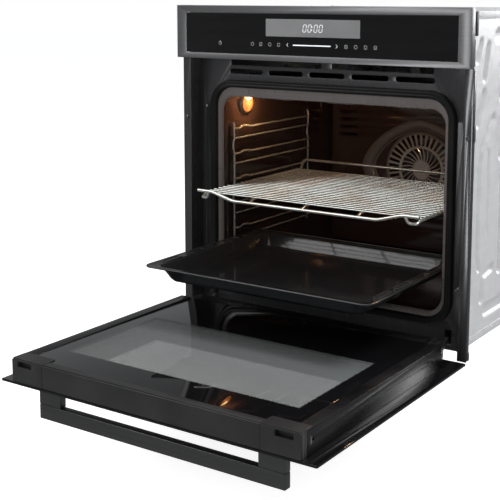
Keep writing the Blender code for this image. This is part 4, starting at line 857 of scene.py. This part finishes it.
def make_fan_disc():
    """The domed disc: a ring of slots, leaning embossed ribs and dashed rings round the middle."""
    bm = bmesh.new()
    for radii in ((0.0, 6.0, 13.0, 20.5), (46.0, 49.0, 52.0)):
        face = [(r, dome_depth(r)) for r in radii]
        back = [(r, dome_depth(r) + 1.2) for r in (radii[-1], radii[0])]
        turned(bm, face + back + (face[:1] if radii[0] else []), (0.0, 0.0, FAN_Z), "Y", 60)
    ribs, part = 36, bmesh.new()
    radii = (50.0, 58.0, 67.0, 76.5)
    left = [part.verts.new((-0.040 * r, dome_depth(r), FAN_Z + r)) for r in radii]
    right = [part.verts.new((0.040 * r, dome_depth(r) - 0.8, FAN_Z + r)) for r in radii]
    edges = [part.edges.new(pair) for row in (left, right) for pair in zip(row, row[1:])]
    bmesh.ops.bridge_loops(part, edges=edges)
    bmesh.ops.solidify(part, geom=part.faces, thickness=0.9)
    bmesh.ops.recalc_face_normals(part, faces=part.faces)
    bmesh.ops.spin(part, geom=part.verts[:] + part.edges[:] + part.faces[:], cent=(0.0, 0.0, FAN_Z),
                   axis=(0.0, 1.0, 0.0), angle=2 * math.pi * (ribs - 1) / ribs, steps=ribs - 1,
                   use_duplicate=True)
    join(bm, part)

    def on_dome(radius, degrees):
        turn = math.radians(degrees)
        return (radius * math.cos(turn), dome_depth(radius) - 0.7, FAN_Z + radius * math.sin(turn))

    for i in range(24):
        wire(bm, [on_dome(r, 15.0 * i + 0.55 * r) for r in (19.5, 28.0, 37.0, 48.0)], 1.5, roundness=2)
    for radius, dashes in ((6.5, 3), (11.5, 5), (16.5, 7)):
        for i in range(dashes):
            start, sweep = 360.0 * i / dashes + radius * 9.0, 220.0 / dashes
            wire(bm, [on_dome(radius, start + sweep * k / 6) for k in range(7)], 1.2, roundness=2)
    turned(bm, [(0.0, dome_depth(0) - 2.4), (1.8, dome_depth(0) - 2.2), (2.6, dome_depth(0) - 1.4),
                (2.8, dome_depth(0) + 0.2)], (0.0, 0.0, FAN_Z), "Y", 20)
    piece("fan_cover_disc", bm, "fan_enamel", smooth=42)


def make_lamps():
    """A domed lens in a steel collar in each side wall."""
    for word, side in SIDES:
        x, y, z = span("lamp_cover_" + word)
        inner, outer = (x[0], x[1]) if side > 0 else (x[1], x[0])
        centre = (0.0, sum(y) / 2, sum(z) / 2)
        dome = [(radius, inner + side * depth) for radius, depth in (
            (20.0, 3.6), (18.6, 1.6), (15.0, 0.5), (11.0, 0.0),
            (10.0, 0.9), (8.8, 0.0), (5.0, -0.2), (0.0, -0.3))]
        bm = bmesh.new()
        turned(bm, [(20.0, outer)] + dome, centre, "X", 40)
        piece("lamp_lens_" + word, bm, "lamp_glass", nodes=["lamp_cover_" + word])
        bm = bmesh.new()
        collar = [(20.4, outer), (20.4, inner + side * 3.0), (22.4, inner + side * 3.0),
                  (23.6, inner + side * 4.4), (23.6, outer), (20.4, outer)]
        turned(bm, collar, centre, "X", 40)
        piece("lamp_collar_" + word, bm, "bright_steel")


def make_racks():
    """Two posts a side, kinked at two levels, and five pairs of rails."""
    for word, side in SIDES:
        bm = bmesh.new()
        low, high = RACK_FIRST_Z - 8.0, RACK_FIRST_Z + RACK_PITCH * 4 + RACK_GAP + 12.0
        post, rail = side * RACK_POST_X, side * RACK_RAIL_X
        for y in (72.0, 350.0):
            route = [(side * 231.5, y, low), (post, y, low + 5.0)]
            for level in (1, 3):
                kink = RACK_FIRST_Z + RACK_PITCH * level + RACK_GAP + 4.0
                route += [(post, y, kink), (post, y - 3.4, kink + 5.0),
                          (post, y - 3.4, kink + 19.0), (post, y, kink + 24.0)]
            route += [(post, y, high - 5.0), (side * 231.5, y, high)]
            wire(bm, eased(route, 4.0), 2.2)
        for level in range(5):
            for rise in (0.0, RACK_GAP):
                z = RACK_FIRST_Z + RACK_PITCH * level + rise
                hump = [(rail, 88.0, z), (rail, 93.0, z + 3.2), (rail, 112.0, z + 3.2), (rail, 117.0, z)]
                route = [(side * 228.0, 67.6, z), (rail, 78.0, z), *(hump if rise else []),
                         (rail, 344.0, z), (side * 228.0, 354.2, z)]
                wire(bm, eased(route, 5.0, 3), 2.0)
        piece("rack_wires_" + word, bm, "chrome", nodes=["side_rack_" + word], smooth=60)


def make_elements():
    """The grill element as one smooth bent tube, on two ceiling clips."""
    x, y, z = span("grill_element")
    bm = bmesh.new()
    middle, legs, reach, tube = sum(z) / 2, 6, x[1] - 3.0, 2.8
    route = [(-20.0, y[1], middle), (-20.0, y[1] - 40.0, middle)]
    for i in range(legs):
        u = -reach + 2 * reach * i / (legs - 1)
        ends = (y[1] - 60.0, y[0] + 4.0) if i % 2 == 0 else (y[0] + 4.0, y[1] - 60.0)
        route += [(u, ends[0], middle), (u, ends[1], middle)]
    wire(bm, eased(route, 14.0, 6), tube)
    for low in (140.0, 330.0):
        cuboid(bm, (-reach, reach), (low, low + 6.0), (middle + 2.9, middle + 3.9), 0.3)
    piece("grill_tube", bm, "bright_steel", nodes=["grill_element"], smooth=60)


def make_tray():
    """Deep-drawn tray: rolled rim, sloping apron, round floor corners and slots in its side rims, each slot a
    steel ring round a black fill that is painted shade standing in for the dark inside of the hole.
    """
    top, floor = TRAY_Z[1], TRAY_Z[0]
    bm = bmesh.new()

    def level(inset_x, inset_y, z, radius):
        flat = rounded_rect(grown(TRAY_X, -inset_x), grown(TRAY_Y, -inset_y), radius, 10)
        return [(u, v, z) for u, v in flat]

    rings = [level(0.8, 0.8, top - 3.2, 15.0), level(0.0, 0.0, top - 2.2, 16.0),
             level(0.5, 0.5, top - 0.6, 16.0), level(2.0, 2.0, top - 0.1, 15.0),
             level(4.2, 3.6, top - 0.9, 14.0), level(18.0, 11.0, top - 1.0, 13.0),
             level(21.5, 14.0, top - 1.6, 13.5), level(24.5, 17.0, top - 4.6, 15.0),
             level(31.0, 27.0, floor + 7.5, 20.0), level(34.0, 31.0, floor + 2.6, 21.0),
             level(39.0, 36.0, floor + 1.0, 20.0), level(48.0, 45.0, floor + 0.9, 18.0),
             level(52.0, 49.0, floor + 1.6, 16.0), level(60.0, 57.0, floor + 1.7, 14.0)]
    loft(bm, rings, close_last=True)
    bmesh.ops.solidify(bm, geom=bm.faces, thickness=GAUGE)
    bmesh.ops.recalc_face_normals(bm, faces=bm.faces)
    piece("tray_pan", bm, "tray_enamel", "baking_tray", ["baking_tray"], smooth=50)
    rims, slots = bmesh.new(), bmesh.new()
    wire(rims, level(1.3, 1.3, top - 1.0, 15.0), 1.25, closed=True, roundness=2)
    for side in (-1, 1):
        for start in (42.0, 112.0, 228.0, 298.0):
            y = TRAY_Y[0] + start
            outline = rounded_rect(on_side(side, 208.0, 221.4), (y - 1.8, y + 53.8), 6.0, 5)
            hole = rounded_rect(on_side(side, 211.4, 218.6), (y + 1.6, y + 50.4), 3.2, 5)
            slab(rims, [outline, hole], top - 1.4, top + 0.3, "XY", 0.5)
            # painted shade: a thin black sheet in each slot stands in for the darkness seen through a real
            # hole
            slab(slots, [hole], top - 1.2, top - 0.86, "XY", 0.1)
    piece("tray_slot_rims", rims, "handle_steel", "baking_tray")
    piece("tray_slot_painted_shade", slots, "black_paint", "baking_tray")


def make_shelf():
    """Chromed shelf: a front bar that dips between raised ends, rails, cross wires and a rear guard."""
    bm = bmesh.new()
    bar, thin = 3.0, 1.5
    rail_x = 223.0
    rail_z = SHELF_Z[0] + 7.5
    y0, y1 = SHELF_Y[0] + bar, SHELF_Y[1] - bar
    high, low = rail_z + 8.5, rail_z - 4.5
    end, bend, flat = SHELF_X[1], SHELF_X[1] - 32.0, SHELF_X[1] - 78.0
    front = [(-end, y0, high), (-bend, y0, high), (-flat, y0, low), (flat, y0, low),
             (bend, y0, high), (end, y0, high)]
    wire(bm, eased(front, 9.0), bar, roundness=4)
    rear = [(-rail_x, y1, rail_z), (-rail_x + 8.0, y1, rail_z + 22.0), (rail_x - 8.0, y1, rail_z + 22.0),
            (rail_x, y1, rail_z)]
    wire(bm, eased(rear, 8.0), bar, roundness=4)
    for side in (-1, 1):
        x = side * rail_x
        rail = [(x, y1, rail_z), (x, y0 + 16.0, rail_z), (x - side * 2.0, y0 + 4.0, low),
                (x - side * 15.0, y0 + 1.0, low + 0.5), (side * (bend + 6.0), y0, high - 1.0)]
        wire(bm, eased(rail, 4.0), bar - 0.4, roundness=4)
    top = rail_z + bar + thin - 0.9
    cross_wires = 23
    for i in range(cross_wires):
        y = y0 + 18.0 + (y1 - y0 - 36.0) * i / (cross_wires - 1)
        wire(bm, [(-rail_x - 1.5, y, top), (rail_x + 1.5, y, top)], thin, roundness=2)
    under = top - thin - 2.1 + 0.9
    for x in (-rail_x / 2, 0.0, rail_x / 2):
        wire(bm, eased([(x, y0, low + 0.5), (x, y0 + 12.0, under), (x, y1 - 4.0, under)], 6.0), 2.1)
    piece("shelf_wires", bm, "chrome", "wire_shelf", ["wire_shelf"], smooth=60)


# ---------------------------------------------------------------- door
def make_door():
    """Panes, printed baffles between them, side channels, cap and lower rail."""
    bm = bmesh.new()
    slab(bm, [rounded_rect(OUTER_X, OUTER_Y, 2.0, 5)], *OUTER_Z, plane="XY", edge=0.7)
    piece("door_front_pane", bm, "outer_glass", "door", ["door_outer_glass"])
    bm = bmesh.new()
    slab(bm, [rounded_rect(INNER_X, INNER_Y, 3.0, 5)], *INNER_Z, plane="XY", edge=0.6)
    piece("door_inner_pane", bm, "inner_glass", "door", ["door_inner_glass"])
    bm = bmesh.new()
    rim = rounded_rect((-236.0, 236.0), grown(INNER_Y, -12), 3.0, 4)
    view_through = rounded_rect((-WINDOW_HALF - 5, WINDOW_HALF + 5), grown(WINDOW_Y, 5), 6.0, 6)
    slab(bm, [rim, view_through], INNER_Z[0] - 11.0, INNER_Z[0] - 10.0, "XY", 0.3)
    slab(bm, [rim, view_through], OUTER_Z[1] + 3.0, OUTER_Z[1] + 4.0, "XY", 0.3)
    piece("door_baffles", bm, "black_paint", "door")

    for word, side in SIDES:
        bm = softened("door_side_channel_" + word, 0.35)
        slab(bm, [rounded_rect((-440.0, -90.0), (17.0, 20.0), 1.4, 4)], *on_side(side, 271.9, 272.3),
             plane="YZ", edge=0.1)
        piece("door_channel_" + word, bm, "black_paint", "door", ["door_side_channel_" + word])
    make_door_cap()
    bm = softened("door_bottom_rail", 0.5)
    piece("door_lower_rail", bm, "black_paint", "door", ["door_bottom_rail"])


def make_door_cap():
    """The moulded strip along the door's top: a middle length and two end caps with latch pockets."""
    seam, front = 206.0, CAP_Y[0]
    bm = bmesh.new()
    length = (-seam + 0.2, seam - 0.2)
    cuboid(bm, length, CAP_Y, CAP_Z, 0.9, 3)
    cuboid(bm, length, (front + 2.0, CAP_Y[1] + 2.4), (CAP_Z[1] + 0.2, CAP_Z[1] + 1.1), 0.3)
    piece("door_cap_middle", bm, "plastic", "door", ["door_top_cap"])
    bm = bmesh.new()
    for side in (-1, 1):
        x = on_side(side, seam, CAP_X[1])
        pocket = rounded_rect(on_side(side, 230.0, 260.0), (CAP_Z[1] - 11.5, CAP_Z[1] - 2.5), 1.2, 4)
        slab(bm, [rounded_rect(x, CAP_Z, 1.2, 4), pocket], front, front + 9.0, edge=0.6)
        cuboid(bm, x, (front + 8.6, CAP_Y[1]), CAP_Z, 0.5)
        tongue = rounded_rect(x, (front + 1.5, CAP_Y[1] + 17.0), 3.0, 5)
        slab(bm, [tongue], CAP_Z[1] - 0.2, CAP_Z[1] + 1.4, "XY", 0.4)
    piece("door_cap_ends", bm, "plastic", "door")


def make_handle():
    """A square bar on two posts."""
    bm = bmesh.new()
    cuboid(bm, BAR_X, BAR_Y, BAR_Z, 1.1, 3)
    piece("handle_grip", bm, "handle_steel", "door", ["handle_bar"])
    for word, side in SIDES:
        x, y, z = span("handle_post_" + word)
        bm = bmesh.new()
        cuboid(bm, x, y, z, 1.1, 3)
        cuboid(bm, (x[0] + 3, x[1] - 3), (y[0] + 1, y[1] - 1), (z[1] - 0.6, z[1] + 0.3), 0.1)
        piece("handle_foot_" + word, bm, "handle_steel", "door", ["handle_post_" + word])


def make_hinges():
    """The hinge parts that show, with their edges rounded."""
    for word, side in SIDES:
        for node, name, body, edge in (("hinge_arm_", "hinge_hook_", "housing", 0.5),
                                       ("hinge_receiver_", "hinge_catch_", "housing", 0.3),
                                       ("hinge_body_", "hinge_channel_", "door", 0.35),
                                       ("hinge_pin_", "hinge_axle_", "door", 0.4)):
            piece(name + word, softened(node + word, edge), "bright_steel", body, [node + word])


# ---------------------------------------------------------------- nodes kept as they are
KEPT = {
    "board": ("control_board", "power_board"),
    "display": ("display_module",),
    "zinc": ("housing_base", "cooling_fan_housing", "cooling_fan_wheel"),
    # the air duct takes the near-black painted shade, not the zinc finish
    "duct_painted_shade": ("air_duct",),
    "wool": ("insulation_wrap", "insulation_back"),
    "plastic": ("terminal_box", "cord_gland"),
    "clear_glass": ("door_middle_glass",),
    "dark_steel": ("convection_fan", "ring_heater"),
    "bright_steel": ("convection_motor", "bottom_element", "temperature_probe", "lamp_left", "lamp_right",
                     "cooling_fan_motor", "hinge_rod_left", "hinge_rod_right", "hinge_spring_left",
                     "hinge_spring_right"),
}


def finish_kept_nodes():
    """Gives the parts inside the housing their finishes."""
    for look, nodes in KEPT.items():
        for node in nodes:
            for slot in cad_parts[node].material_slots:
                slot.material = LOOKS[look].material


# ---------------------------------------------------------------- studio
def add_light(name, kind, place, aim, power, colour=(1.0, 1.0, 1.0), size=(1.0, 1.0)):
    """A softbox or a lamp bulb; strong bulbs leave no mirror image."""
    light = bpy.data.lights.new(name, kind)
    light.energy, light.color = power, colour
    if kind == "AREA":
        light.shape, light.size, light.size_y = "RECTANGLE", *size
    else:
        light.shadow_soft_size = size[0]
    lamp = bpy.data.objects.new(name, light)
    lamp.location = place
    lamp.visible_camera, lamp.visible_glossy = False, kind == "AREA" or power < 1.0
    lamp.rotation_euler = (Vector(aim) - Vector(place)).to_track_quat("-Z", "Y").to_euler()
    bpy.context.scene.collection.objects.link(lamp)
    return lamp


def make_studio():
    """White room, pale floor, softboxes, and a warm bulb in front of each lamp lens."""
    scene = bpy.context.scene
    scene.view_settings.view_transform = "Standard"
    world = bpy.data.worlds.new("studio")
    scene.world = world
    world.use_nodes = True
    nodes, links = world.node_tree.nodes, world.node_tree.links
    soft, bright = nodes["Background"], nodes.new("ShaderNodeBackground")
    for room, colour, strength in ((soft, (0.96, 0.98, 1.0, 1.0), 0.24), (bright, (1.0, 1.0, 1.0, 1.0), 1.0)):
        room.inputs[0].default_value, room.inputs[1].default_value = colour, strength
    seen, mixed = nodes.new("ShaderNodeLightPath"), nodes.new("ShaderNodeMixShader")
    links.new(seen.outputs["Is Camera Ray"], mixed.inputs[0])
    links.new(soft.outputs[0], mixed.inputs[1])
    links.new(bright.outputs[0], mixed.inputs[2])
    links.new(mixed.outputs[0], nodes["World Output"].inputs[0])

    floor_drop, floor_reach = 0.10, 15.0
    ground = bmesh.new()
    bmesh.ops.create_grid(ground, x_segments=1, y_segments=1, size=floor_reach)
    bmesh.ops.translate(ground, vec=(0.0, 0.0, cad_box[0].z - floor_drop), verts=ground.verts)
    mesh = bpy.data.meshes.new("floor")
    ground.to_mesh(mesh)
    ground.free()
    pale = Finish("pale_floor", "", (0.62, 0.62, 0.62), 0.8, emission_color=(1.0, 1.0, 1.0, 1.0),
                  emission_strength=0.84)
    pale.feed("Roughness", pale.noise(3.0) * 0.1 + 0.7)
    mesh.materials.append(pale.material)
    floor = bpy.data.objects.new("floor", mesh)
    scene.collection.objects.link(floor)
    floor.visible_glossy = False

    for name, place, aim, power, size in (("key_box", (-2.2, -2.6, 2.6), (0.0, -0.3, 0.2), 62, (2.2, 2.2)),
                                          ("right_box", (1.5, 0.1, 2.7), (0.3, 0.2, 0.3), 60, (0.5, 1.0)),
                                          ("top_box", (0.0, -0.4, 3.2), (0.0, -0.2, 0.0), 46, (3.0, 2.6)),
                                          ("rear_box", (1.3, 2.7, 1.3), (0.1, 0.2, 0.2), 44, (0.9, 1.6))):
        add_light(name, "AREA", place, aim, power, size=size)
    front = add_light("front_box", "AREA", (1.3, -2.5, 0.95), (0.0, 0.0, 0.2), 18, size=(0.5, 0.5))
    front.visible_glossy = False
    sheen = add_light("sheen_box", "AREA", PLACE @ Vector((-420.0, -3000.0, 420.0)),
                      PLACE @ Vector((297.0, 0.0, 450.0)), 15, size=(0.7, 1.3))
    sheen.light_linking.receiver_collection = FRONT_STEEL
    for word, side in SIDES:
        x, y, z = span("lamp_cover_" + word)
        lens, before_lens = abs(x[0 if side > 0 else 1]), 16.0
        spot = PLACE @ Vector((side * (lens - before_lens), sum(y) / 2, sum(z) / 2))
        power = 1.3 if side < 0 else 0.8
        add_light("lamp_light_" + word, "POINT", spot, spot - Vector((side, 0, 0)), power,
                  (1.0, 0.55, 0.24), (0.012,))


def make_camera():
    """Three-quarter view from the right, a little above the oven's top."""
    camera = bpy.data.cameras.new("camera")
    camera.sensor_width, camera.lens = 36.0, 79.182
    camera.shift_y = -0.20
    viewer = bpy.data.objects.new("camera", camera)
    yaw, pitch = math.radians(34.239), math.radians(8.23)
    viewer.location = PLACE @ Vector((999.1, -1677.9, 620.2))
    viewer.rotation_euler = (math.pi / 2 - pitch, 0.0, yaw)
    bpy.context.scene.collection.objects.link(viewer)
    bpy.context.scene.camera = viewer


make_camera()
make_studio()
make_control_panel()
make_front_frame()
make_housing()
make_liner()
make_fan_cover()
make_lamps()
make_racks()
make_elements()
make_tray()
make_shelf()
make_door()
make_handle()
make_hinges()
finish_kept_nodes()
